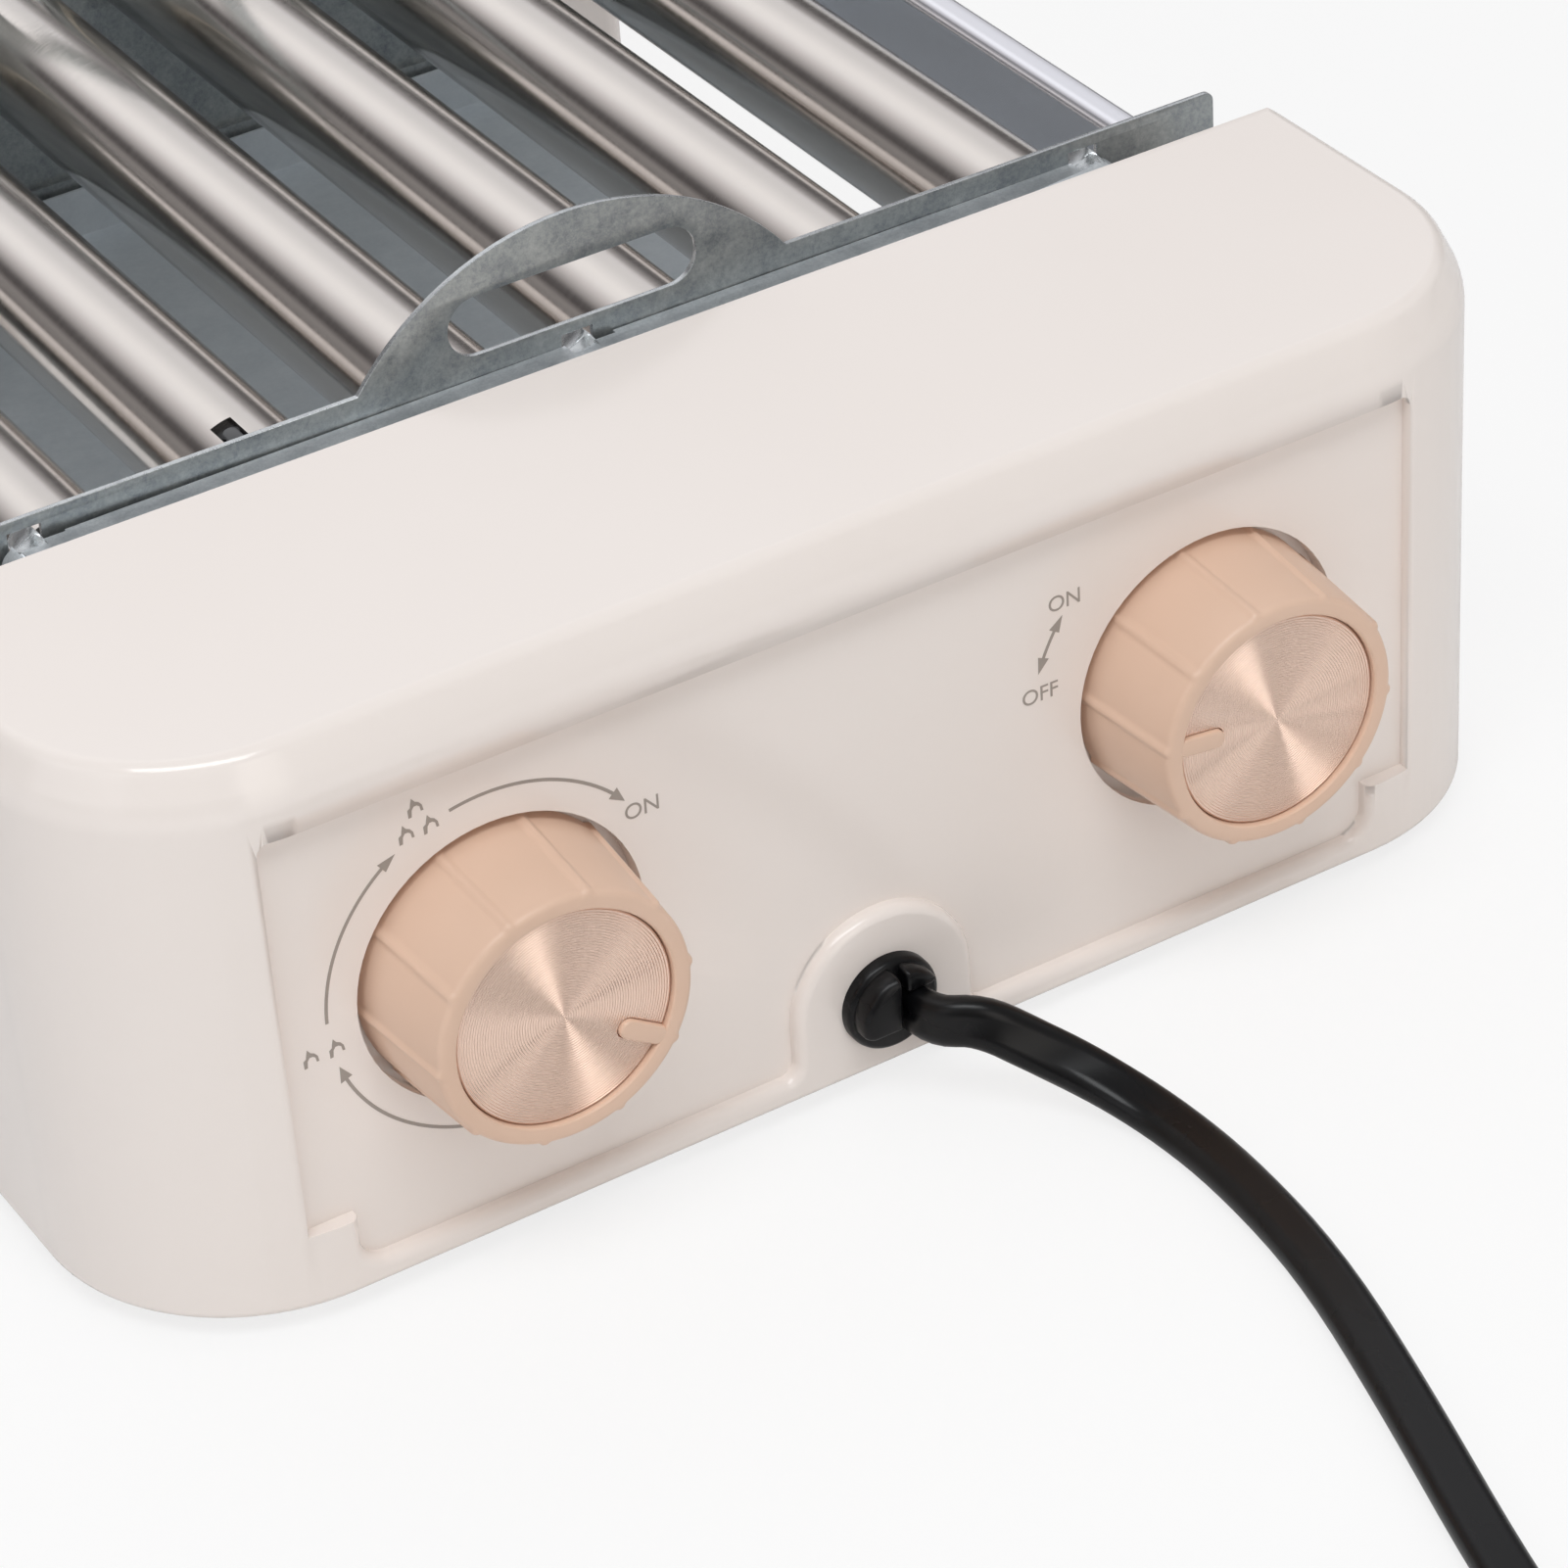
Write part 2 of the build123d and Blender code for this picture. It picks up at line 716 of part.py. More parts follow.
def make_idler(x):
    with BuildPart() as idler:
        with BuildSketch(front_plane(gear_out)):
            with BuildLine(Location((x, 0))):
                Polyline(*gear_points(idler_teeth, 180 / idler_teeth), close=True)
            make_face()
            with Locations((x, 0)):
                Circle(idler_bore, mode=Mode.SUBTRACT)
        extrude(amount=gear_face)
    return idler


for k, x in enumerate(idler_xs):
    save(make_idler(x), f"idler_gear_{k + 1}")

with BuildPart() as idler_pins:
    places = [(x, 0) for x in idler_xs]
    with BuildSketch(front_plane(-sheet)):
        with Locations(places):
            Circle(idler_pin_radius)
    extrude(amount=sheet + gear_out + gear_face + pin_collar + pin_head)
    with BuildSketch(front_plane(0)):
        with Locations(places):
            Circle(pin_head_radius)
    extrude(amount=gear_out - pin_collar)
    with BuildSketch(front_plane(gear_out + gear_face + pin_collar)):
        with Locations(places):
            Circle(pin_head_radius)
    extrude(amount=pin_head)
save(idler_pins, "idler_pins")


# Drive motor on its bracket, under the fourth roller's gear
motor_x = roller_xs[roller_count // 2]
motor_drop = gear_module * (roller_teeth + motor_teeth) / 2
motor_radius = 24.5
motor_depth = 18.0
motor_offset = 12.0
motor_shaft_radius = 3.0
bracket_sheet = 1.2
bracket_out = 14.0
bracket_half = 30.0
bracket_rise = 5.0
bracket_foot = 6.0
motor_out = bracket_out + bracket_sheet
shaft_depth = 8.0

with BuildPart() as motor_gear:
    with BuildSketch(front_plane(gear_out)):
        with BuildLine(Location((motor_x, -motor_drop))):
            Polyline(*gear_points(motor_teeth, 90), close=True)
        make_face()
    extrude(amount=gear_face)
    with BuildSketch(front_plane(gear_out)):
        with Locations((motor_x, -motor_drop)):
            Circle(motor_shaft_radius)
    extrude(amount=motor_out - gear_out + shaft_depth)
save(motor_gear, "motor_gear")

with BuildPart() as gear_motor:
    with BuildSketch(front_plane(motor_out)):
        with Locations((motor_x, -motor_drop - motor_offset)):
            Circle(motor_radius)
    extrude(amount=motor_depth)
    with BuildSketch(front_plane(motor_out)):
        with Locations((motor_x, -motor_drop)):
            Circle(motor_shaft_radius + running_clearance)
    extrude(amount=shaft_depth + running_clearance, mode=Mode.SUBTRACT)
save(gear_motor, "gear_motor")

shroud_floor = -skirt_drop + sheet
with BuildPart() as motor_bracket:
    with BuildSketch(front_plane(bracket_out)) as web:
        web_height = -shroud_floor - bracket_rise
        with Locations((motor_x, shroud_floor + web_height / 2)):
            Rectangle(2 * bracket_half, web_height)
        fillet(web.vertices().group_by(Axis.Y)[-1], bracket_foot)
        with Locations((motor_x, -motor_drop)):
            Circle(motor_shaft_radius + seat_clearance, mode=Mode.SUBTRACT)
    extrude(amount=bracket_sheet)
    with BuildSketch(front_plane(bracket_out - bracket_foot)):
        with Locations((motor_x, shroud_floor + bracket_sheet / 2)):
            Rectangle(2 * bracket_half, bracket_sheet)
    extrude(amount=bracket_foot)
save(motor_bracket, "motor_bracket")


# Heater rods, held at the rear by their own bracket
rod_radius = 3.25
rod_end_gap = 2.0
rod_tail = 8.0
heater_bracket_gap = 3.0
heater_out = tube_end + neck_length - plate_span + heater_bracket_gap
heater_half = skirt_half - sheet
heater_height = 16.0

with BuildPart() as plain_bracket:
    with BuildSketch(front_plane(heater_out)):
        Rectangle(2 * heater_half, heater_height)
        with Locations([(x, 0) for x in roller_xs]):
            Circle(rod_radius, mode=Mode.SUBTRACT)
    extrude(amount=sheet)
with BuildPart() as heater_bracket:
    mirror(plain_bracket.part, about=mid_plane)
save(heater_bracket, "heater_bracket")

with BuildPart() as heater_rods:
    rod_front = front_face - tube_out + hub_plug + rod_end_gap
    rod_back = front_face + plate_span + heater_out + sheet + rod_tail
    rod_plane = Plane((0, rod_front, axis_height), x_dir=(1, 0, 0), z_dir=(0, -1, 0))
    with BuildSketch(rod_plane):
        with Locations([(x, 0) for x in roller_xs]):
            Circle(rod_radius)
    extrude(amount=-(rod_back - rod_front))
save(heater_rods, "heater_rods")


# Knobs, their discs, and what they turn
knob_ribs = 10
knob_base_radius = 20.6
knob_taper = 1.4
rib_radius = 1.3
rib_stand = 0.4
knob_gap = 0.8
rim_edge = 0.8
disc_radius = 17.36
disc_thickness = 0.6
disc_drop = 0.9
pointer_width = 3.0
pointer_inner = 10.0
knob_turns = {"heat": -33.0, "motor": 173.0}
shaft_radius = 3.0
shaft_engage = 12.0
hub_boss_radius = 5.5
knob_cavity = 12.0
knob_back = well_out + knob_gap
knob_front = panel_out + knob_stand
disc_top = knob_front - disc_drop
pocket_floor = disc_top - disc_thickness


def pointer_face(x, turn, out, reach):
    # Round-ended pointer outline, from near the centre out to the rim
    with BuildSketch(front_plane(out)) as outline:
        with Locations(Location((x, -knob_drop), turn)):
            with Locations(((pointer_inner + pointer_width / 2 + reach) / 2, 0)):
                Rectangle(reach - pointer_inner - pointer_width / 2, pointer_width)
            with Locations((pointer_inner + pointer_width / 2, 0)):
                Circle(pointer_width / 2)
    return outline


def make_knob(x, turn):
    with BuildPart() as knob:
        with BuildSketch(front_plane(knob_back)):
            with Locations((x, -knob_drop)):
                Circle(knob_base_radius)
                with PolarLocations(knob_base_radius + rib_stand - rib_radius, knob_ribs, turn):
                    Circle(rib_radius)
        extrude(amount=knob_front - knob_back, taper=knob_taper)
        fillet(knob.faces().sort_by(Axis.Y)[0].outer_wire().edges(), rim_edge)
        with BuildSketch(front_plane(pocket_floor)):
            with Locations((x, -knob_drop)):
                Circle(disc_radius)
        extrude(amount=disc_thickness + disc_drop, mode=Mode.SUBTRACT)
        extrude(
            pointer_face(x, turn, pocket_floor, disc_radius + rim_edge).sketch,
            amount=disc_thickness + disc_drop,
        )
        with BuildSketch(front_plane(knob_back)):
            with Locations((x, -knob_drop)):
                Circle(disc_radius - rib_radius)
                Circle(hub_boss_radius, mode=Mode.SUBTRACT)
        extrude(amount=knob_cavity, mode=Mode.SUBTRACT)
        with BuildSketch(front_plane(knob_back)):
            with Locations((x, -knob_drop)):
                Circle(shaft_radius)
        extrude(amount=shaft_engage, mode=Mode.SUBTRACT)
    return knob


def make_disc(x, turn):
    with BuildPart() as disc:
        with BuildSketch(front_plane(pocket_floor)):
            with Locations((x, -knob_drop)):
                Circle(disc_radius)
            notch = pointer_face(x, turn, pocket_floor, disc_radius + overrun)
            add(notch.sketch_local, mode=Mode.SUBTRACT)
        extrude(amount=disc_thickness)
    return disc


control_size = {"heat": (30.0, 26.0, 22.0), "motor": (26.0, 28.0, 18.0)}
control_out = pad_out - well_depth
shaft_seat = 10.0


def make_control(x, size):
    width, height, depth = size
    with BuildPart() as control:
        with BuildSketch(front_plane(control_out)):
            with Locations((x, -knob_drop)):
                Rectangle(width, height)
        extrude(amount=-depth)
        chamfer(control.edges().filter_by(Axis.Y), overrun)
        with BuildSketch(front_plane(control_out)):
            with Locations((x, -knob_drop)):
                Circle(shaft_hole_radius)
        extrude(amount=well_out - control_out - seat_clearance)
        with BuildSketch(front_plane(well_out)):
            with Locations((x, -knob_drop)):
                Circle(shaft_radius + running_clearance)
        extrude(amount=control_out - shaft_seat - well_out, mode=Mode.SUBTRACT)
    return control


def make_shaft(x):
    with BuildPart() as shaft:
        with BuildSketch(front_plane(control_out - shaft_seat + running_clearance)):
            with Locations((x, -knob_drop)):
                Circle(shaft_radius)
        extrude(amount=knob_back + shaft_engage - control_out + shaft_seat - running_clearance)
    return shaft


for name, x in zip(("heat", "motor"), knob_xs):
    save(make_knob(x, knob_turns[name]), f"{name}_knob")
    save(make_disc(x, knob_turns[name]), f"{name}_knob_disc")
    save(make_shaft(x), f"{name}_shaft")
save(make_control(knob_xs[0], control_size["heat"]), "heat_control")
save(make_control(knob_xs[1], control_size["motor"]), "motor_switch")


# Terminal block on the base cover
block_width = 34.0
block_depth = 16.0
block_height = 14.0
block_x = 40.0
block_out = 62.0
with BuildPart() as terminal_block:
    with BuildSketch(Plane.XY.offset(cover_top)):
        with Locations((block_x, front_face - block_out)):
            Rectangle(block_width, block_depth)
    extrude(amount=block_height)
    with BuildSketch(Plane.XY.offset(cover_top + block_height / 2)):
        with Locations((block_x, front_face - block_out)):
            with GridLocations(block_width / 3, block_depth / 2, 3, 2):
                Circle(screw_radius)
    extrude(amount=block_height, mode=Mode.SUBTRACT)
save(terminal_block, "terminal_block")


# Strain relief: a round flange with the bushing's body standing out on the left and its
# clamp at the upper right. The cord leaves under the clamp and against the body.
cord_width = 8.0
cord_diameter = 6.4
cord_radius = cord_diameter / 2
gland_flange = 2.4
gland_edge = 0.8
gland_neck = 8.0
gland_face = housing_front + gland_flange
exit_shift = 2.4
exit_drop = 0.6
exit_gap = 0.2
block_inset = 0.2
body_stand = 3.6
clamp_stand = 2.4
body_foot = 5.2

with BuildPart() as cord_gland:
    with BuildSketch(front_plane(housing_front)):
        with Locations((0, -gland_drop)):
            Circle(gland_radius)
    extrude(amount=gland_flange)
    fillet(cord_gland.faces().sort_by(Axis.Y)[0].outer_wire().edges(), gland_edge)
    with BuildSketch(front_plane(housing_front)):
        with Locations((0, -gland_drop)):
            Circle(gland_neck_radius)
    extrude(amount=-gland_neck)
    body_side = exit_shift - cord_radius - exit_gap
    with BuildSketch(front_plane(gland_face - gland_edge)) as bushing_body:
        with Locations((0, -gland_drop)):
            Circle(gland_radius - block_inset)
            with Locations((body_side - gland_radius, (gland_radius - body_foot) / 2)):
                Rectangle(2 * gland_radius, gland_radius + body_foot, mode=Mode.INTERSECT)
    extrude(amount=body_stand + gland_edge)
    clamp_foot = cord_radius + exit_gap - exit_drop
    with BuildSketch(front_plane(gland_face - gland_edge)) as clamp:
        with Locations((0, -gland_drop)):
            Circle(gland_radius - block_inset)
            with Locations((body_side + gland_radius, clamp_foot + gland_radius)):
                Rectangle(2 * gland_radius, 2 * gland_radius, mode=Mode.INTERSECT)
    extrude(amount=clamp_stand + gland_edge)
    fillet(cord_gland.faces().sort_by(Axis.Y)[0].outer_wire().edges(), gland_edge)
save(cord_gland, "cord_gland")


# Mains cord: from the bushing down to the table and towards the viewer's right
def turn_between(before, here, after):
    a = Vector(*here) - Vector(*before)
    b = Vector(*after) - Vector(*here)
    return a.get_angle(b)


run_share = 0.45


def fillet_radii(route):
    # Each arc takes the same share of the shorter run beside it
    radii = []
    for before, here, after in zip(route, route[1:], route[2:]):
        run = min((Vector(*here) - Vector(*before)).length, (Vector(*after) - Vector(*here)).length)
        radii.append(run_share * run / tan(radians(turn_between(before, here, after)) / 2))
    return radii


exit_height = axis_height - gland_drop - exit_drop
cord_route = [
    (exit_shift, front_face - gland_face, exit_height),
    (exit_shift, -175.8, exit_height),
    (7.7, -180.3, 16.1),
    (14.5, -183.9, 11.2),
    (20.6, -189.2, 6.8),
    (26.2, -200.8, 3.2),
    (27.0, -218.0, 3.2),
    (24.7, -241.0, 3.2),
    (17.2, -270.0, 3.2),
    (6.8, -305.0, 3.2),
    (1.2, -330.0, 3.2),
    (0.2, -349.0, 3.2),
]
cord_radii = fillet_radii(cord_route)
print("cord radii", [round(r, 1) for r in cord_radii])

with BuildPart() as mains_cord:
    with BuildLine() as cord_line:
        FilletPolyline(*cord_route, radius=cord_radii)
    first_run = Vector(*cord_route[1]) - Vector(*cord_route[0])
    with BuildSketch(Plane(cord_route[0], z_dir=first_run)):
        Circle(cord_radius)
    sweep(path=cord_line.wires()[0])
cord_length = cord_line.wires()[0].length
print("cord tube", mains_cord.part.volume, pi * cord_radius**2 * cord_length)
save(mains_cord, "mains_cord")


# Coil: one tube that spirals in, climbs a layer and spirals out, as half turns. The real
# cord is flat, so its turns lie a whole width apart.
coil_gap = 0.6
layer_gap = 0.5
coil_pitch = cord_width + coil_gap
layer_pitch = cord_diameter + layer_gap
coil_outer = 42.0
coil_turn_steps = [0, -1, -2, -3, -4, -3, -2, -1, 0, 1, 4]
climb_turn = coil_turn_steps.index(min(coil_turn_steps))
plug_thickness = 14.0
plug_axis = plug_thickness / 2

entry = Vector(*cord_route[-1])
heading = (entry - Vector(*cord_route[-2])).normalized()
side = Vector(heading.Y, -heading.X, 0)
spot = entry + heading * cord_diameter
coil_spots = [spot]
for k, step in enumerate(coil_turn_steps):
    radius = coil_outer + step * coil_pitch / 2
    way = side if k % 2 == 0 else side * -1
    spot = spot + way * (2 * radius)
    last = k == len(coil_turn_steps) - 1
    height = plug_axis if last else cord_radius + layer_pitch * (k >= climb_turn)
    coil_spots.append(Vector(spot.X, spot.Y, height))

with BuildPart() as cord_coil:
    with BuildLine() as coil_line:
        Line(entry, coil_spots[0])
        tangent = heading
        for start, end in zip(coil_spots, coil_spots[1:]):
            chord = end - start
            joint = (start + end) * 0.5 + tangent * (chord.length / 2)
            TangentArc(start, joint, tangent=tangent)
            TangentArc(joint, end, tangent=chord.normalized())
            tangent = tangent * -1
        coil_end = coil_spots[-1] + tangent * cord_diameter
        Line(coil_spots[-1], coil_end)
    with BuildSketch(Plane(entry, z_dir=heading)):
        Circle(cord_radius)
    sweep(path=coil_line.wires()[0])
coil_path = coil_line.wires()[0]
coil_length = coil_path.length
print("coil tube", cord_coil.part.volume, pi * cord_radius**2 * coil_length)
print("cord length", cord_length + coil_length)
save(cord_coil, "cord_coil")

# Least gap of the coil to itself, measured on points along it
sample_step = cord_radius
sample_count = int(coil_length / sample_step)
samples = [coil_path.position_at(k / sample_count) for k in range(sample_count + 1)]
skip = int(4 * cord_diameter / sample_step)
least = min(
    (samples[i] - samples[j]).length
    for i in range(len(samples))
    for j in range(i + skip, len(samples))
)
print("coil least gap", round(least - cord_diameter, 3))

# Plug at the coil's end, lying on the table
plug_length = 34.0
plug_width = 26.0
plug_nose = 12.0
plug_neck_width = 10.0
pin_spacing = 18.6
pin_radius = 2.0
pin_length = 19.0
plug_corner = 2.5
plug_plane = Plane(
    origin=(coil_end.X, coil_end.Y, plug_axis), x_dir=(tangent.X, tangent.Y, 0), z_dir=(0, 0, 1)
)

with BuildPart() as mains_plug:
    with BuildSketch(plug_plane.offset(-plug_thickness / 2)) as outline:
        with BuildLine():
            Polyline(
                (0, -plug_neck_width / 2),
                (plug_length - plug_nose, -plug_width / 2),
                (plug_length, -plug_width / 2),
                (plug_length, plug_width / 2),
                (plug_length - plug_nose, plug_width / 2),
                (0, plug_neck_width / 2),
                close=True,
            )
        make_face()
    extrude(amount=plug_thickness)
    fillet(mains_plug.edges().filter_by(Axis.Z), plug_corner)
save(mains_plug, "mains_plug")

with BuildPart() as plug_pins:
    pin_plane = Plane(
        origin=plug_plane.from_local_coords(Vector(plug_length, 0, 0)),
        x_dir=(0, 0, 1),
        z_dir=(tangent.X, tangent.Y, 0),
    )
    with BuildSketch(pin_plane):
        with Locations((0, -pin_spacing / 2), (0, pin_spacing / 2)):
            Circle(pin_radius)
    extrude(amount=pin_length)
save(plug_pins, "plug_pins")
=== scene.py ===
import math
import bpy
from mathutils import Matrix, Vector


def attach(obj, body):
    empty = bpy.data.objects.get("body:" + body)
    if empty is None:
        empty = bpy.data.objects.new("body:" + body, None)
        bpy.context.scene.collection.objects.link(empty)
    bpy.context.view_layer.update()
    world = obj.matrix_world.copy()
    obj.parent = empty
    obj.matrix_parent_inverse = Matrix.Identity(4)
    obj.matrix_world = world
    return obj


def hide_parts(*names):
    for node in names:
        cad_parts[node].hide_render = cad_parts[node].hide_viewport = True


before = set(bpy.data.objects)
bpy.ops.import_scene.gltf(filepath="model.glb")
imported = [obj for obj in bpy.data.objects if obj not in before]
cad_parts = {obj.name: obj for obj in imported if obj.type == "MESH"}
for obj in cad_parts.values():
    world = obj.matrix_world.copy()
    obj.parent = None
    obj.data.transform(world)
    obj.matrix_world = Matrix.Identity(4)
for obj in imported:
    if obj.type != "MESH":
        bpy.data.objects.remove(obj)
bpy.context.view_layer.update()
scene = bpy.context.scene
scene.view_settings.view_transform = "Standard"

# Where things are, in millimetres: the front end plate's outer face, the roller axes, and how
# far the plates stand apart. A distance called out is measured outwards from an end plate.
grill = {"front": -87.15, "axis": 80.0, "span": 190.0}

weld = 0.005  # millimetres: points closer than this become one
near = 0.05  # millimetres: how far off its place a point may lie and still be picked


def metres(*lengths):
    return [length / 1000 for length in lengths]


def spot(x, out, rise):  # a place, by how far it is out from the front plate and above the axes
    return Vector(metres(x, grill["front"] - out, grill["axis"] + rise))


# camera, fitted to the photograph
camera = {
    "place": (-0.33711, -0.73086, 0.51210),
    "right": (0.84642, -0.52936, -0.05786),
    "up": (0.34318, 0.45917, 0.81939),
    "lens": 127.22,
}


def makeCamera():
    data = bpy.data.cameras.new("camera")
    data.lens = camera["lens"]
    data.clip_start, data.clip_end = 0.01, 20
    eye = bpy.data.objects.new("camera", data)
    scene.collection.objects.link(eye)
    right, up = Vector(camera["right"]).normalized(), Vector(camera["up"])
    back = right.cross(up).normalized()
    up = back.cross(right)
    turned = Matrix((right, up, back)).transposed().to_4x4()
    eye.matrix_world = Matrix.Translation(camera["place"]) @ turned
    scene.camera = eye


makeCamera()
print("camera set")


# small helpers for meshes
def selectOnly(piece):
    bpy.ops.object.select_all(action="DESELECT")
    piece.select_set(True)
    bpy.context.view_layer.objects.active = piece


def selectWhere(piece, kind, test):  # picks faces, edges or points by place or normal, in edit mode
    bpy.ops.mesh.select_all(action="DESELECT")
    bpy.ops.mesh.select_mode(type=kind)
    bpy.ops.object.mode_set(mode="OBJECT")
    mesh = piece.data
    parts = {"FACE": mesh.polygons, "EDGE": mesh.edges, "VERT": mesh.vertices}[kind]
    found = 0
    for part in parts:
        if kind == "FACE":
            chosen = test(part.center, part.normal)
        elif kind == "EDGE":
            a, b = [mesh.vertices[i].co for i in part.vertices]
            chosen = test(a, b)
        else:
            chosen = test(part.co)
        part.select = bool(chosen)
        found += bool(chosen)
    bpy.ops.object.mode_set(mode="EDIT")
    return found


def facing(x, rise, out=0, turn=0):
    # the place of a piece that is modelled lying down: its Z points out at the user, its X
    # points to the right, turned by some degrees
    along = Vector((math.cos(math.radians(turn)), 0, math.sin(math.radians(turn))))
    away = Vector((0, -1, 0))
    turned = Matrix((along, away.cross(along), away)).transposed().to_4x4()
    return Matrix.Translation(spot(x, out, rise)) @ turned


def lathe(profile, sides=96, capped=True):
    # turns a profile of radius and height about Z: a circle, drawn out and scaled ring by ring
    bpy.ops.object.select_all(action="DESELECT")
    radius, height = metres(*profile[0])
    bpy.ops.mesh.primitive_circle_add(vertices=sides, radius=radius, location=(0, 0, height),
                                      fill_type="NGON" if capped else "NOTHING")
    piece = bpy.context.object
    bpy.ops.object.transform_apply(location=True, rotation=True, scale=True)
    bpy.ops.object.mode_set(mode="EDIT")
    bpy.ops.mesh.select_all(action="SELECT")
    for before, after in zip(profile, profile[1:]):
        rise = (after[1] - before[1]) / 1000
        bpy.ops.mesh.extrude_region_move(TRANSFORM_OT_translate={"value": (0, 0, rise)})
        grow = after[0] / before[0]
        bpy.ops.transform.resize(value=(grow, grow, 1), center_override=(0, 0, after[1] / 1000))
    closeUp()
    return piece


def closeUp():  # welds what meets and turns the faces outwards
    bpy.ops.mesh.select_all(action="SELECT")
    bpy.ops.mesh.remove_doubles(threshold=weld / 1000)
    bpy.ops.mesh.normals_make_consistent(inside=False)
    bpy.ops.object.mode_set(mode="OBJECT")


def slotBar(inner, outer, width, low, high, edge):
    # a bar with round ends: a circle whose outer half is pulled out, then raised
    bpy.ops.object.select_all(action="DESELECT")
    middle = (inner + width / 2) / 1000
    bpy.ops.mesh.primitive_circle_add(vertices=48, radius=width / 2000, fill_type="NGON",
                                      location=(middle, 0, low / 1000))
    bar = bpy.context.object
    bpy.ops.object.transform_apply(location=True, rotation=True, scale=True)
    bpy.ops.object.mode_set(mode="EDIT")
    selectWhere(bar, "VERT", lambda co: co.x > middle + near / 1000)
    bpy.ops.transform.translate(value=((outer - inner - width) / 1000, 0, 0))
    bpy.ops.mesh.select_all(action="SELECT")
    bpy.ops.mesh.extrude_region_move(TRANSFORM_OT_translate={"value": (0, 0, (high - low) / 1000)})
    if edge:
        selectWhere(bar, "EDGE", lambda a, b: min(a.z, b.z) > (high - near) / 1000)
        bpy.ops.mesh.bevel(offset=edge / 1000, segments=3, affect="EDGES")
    closeUp()
    return bar


def twin(piece):  # a copy with its own mesh
    other = piece.copy()
    other.data = piece.data.copy()
    scene.collection.objects.link(other)
    return other


def meshOf(drawn):  # what a curve looks like with all its settings at work, as a mesh
    ready = drawn.evaluated_get(bpy.context.evaluated_depsgraph_get())
    return bpy.data.meshes.new_from_object(ready)


def joinUp(pieces):
    bpy.ops.object.select_all(action="DESELECT")
    for piece in pieces:
        piece.select_set(True)
    bpy.context.view_layer.objects.active = pieces[0]
    bpy.ops.object.join()
    return pieces[0]


def addModifier(piece, kind, **settings):
    modifier = piece.modifiers.new(kind.title(), kind)
    for name, value in settings.items():
        setattr(modifier, name, value)
    selectOnly(piece)
    bpy.ops.object.modifier_apply(modifier=modifier.name)


def settle(piece, name, body, finish, nodes=(), smooth=30):
    # puts the piece's place into its mesh, smooths it, and hangs it on its body
    selectOnly(piece)
    bpy.ops.object.transform_apply(location=True, rotation=True, scale=True)
    if smooth:
        bpy.ops.object.shade_smooth_by_angle(angle=math.radians(smooth))
    piece.name = name
    piece.data.name = name
    piece.data.materials.clear()
    piece.data.materials.append(finish)
    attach(piece, body)
    if nodes:
        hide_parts(*nodes)
    return piece


# materials
def colour(code):  # sRGB hex to linear
    parts = [int(code[k:k + 2], 16) / 255 for k in (1, 3, 5)]
    return [p / 12.92 if p <= 0.04045 else ((p + 0.055) / 1.055) ** 2.4 for p in parts] + [1]


def perMm(size):  # a pattern's scale from the size of its grain in millimetres
    return 1000 / size


def addNode(material, kind, settings=None, links=None):
    node = material.node_tree.nodes.new(kind)
    for name, value in (settings or {}).items():
        if isinstance(name, str) and hasattr(node, name):
            setattr(node, name, value)
        else:
            node.inputs[name].default_value = value
    for name, source in (links or {}).items():
        material.node_tree.links.new(source, node.inputs[name])
    return node


def newMaterial(name, settings):
    material = bpy.data.materials.new(name)
    material.use_nodes = True
    surface = material.node_tree.nodes["Principled BSDF"]
    for key, value in settings.items():
        surface.inputs[key].default_value = value
    return material, surface


def mouldedFinish(name, look):
    # moulded plastic, rubber or plain metal: colour that drifts a little, gloss that drifts
    # with it, and the fine skin that the mould or the tool leaves
    material, surface = newMaterial(name, look["surface"])
    links = material.node_tree.links
    place = addNode(material, "ShaderNodeTexCoord")
    drift = addNode(material, "ShaderNodeTexNoise",
                    {"Scale": perMm(look["driftMm"]), "Detail": 3.0},
                    {"Vector": place.outputs["Object"]})
    tone = addNode(material, "ShaderNodeMix",
                   {"data_type": "RGBA", 6: colour(look["pale"]), 7: colour(look["deep"])},
                   {0: drift.outputs["Fac"]})
    links.new(tone.outputs[2], surface.inputs["Base Color"])
    low, high = look["rough"]
    gloss = addNode(material, "ShaderNodeMapRange",
                    {"From Min": 0.3, "From Max": 0.7, "To Min": low, "To Max": high},
                    {"Value": drift.outputs["Fac"]})
    links.new(gloss.outputs["Result"], surface.inputs["Roughness"])
    skin = addNode(material, "ShaderNodeTexNoise",
                   {"Scale": perMm(look["skinMm"]), "Detail": 2.0},
                   {"Vector": place.outputs["Object"]})
    relief = addNode(material, "ShaderNodeBump",
                     {"Strength": 0.4, "Distance": look["skinHeightMm"] / 1000},
                     {"Height": skin.outputs["Fac"]})
    links.new(relief.outputs["Normal"], surface.inputs["Normal"])
    return material


finishes = {}


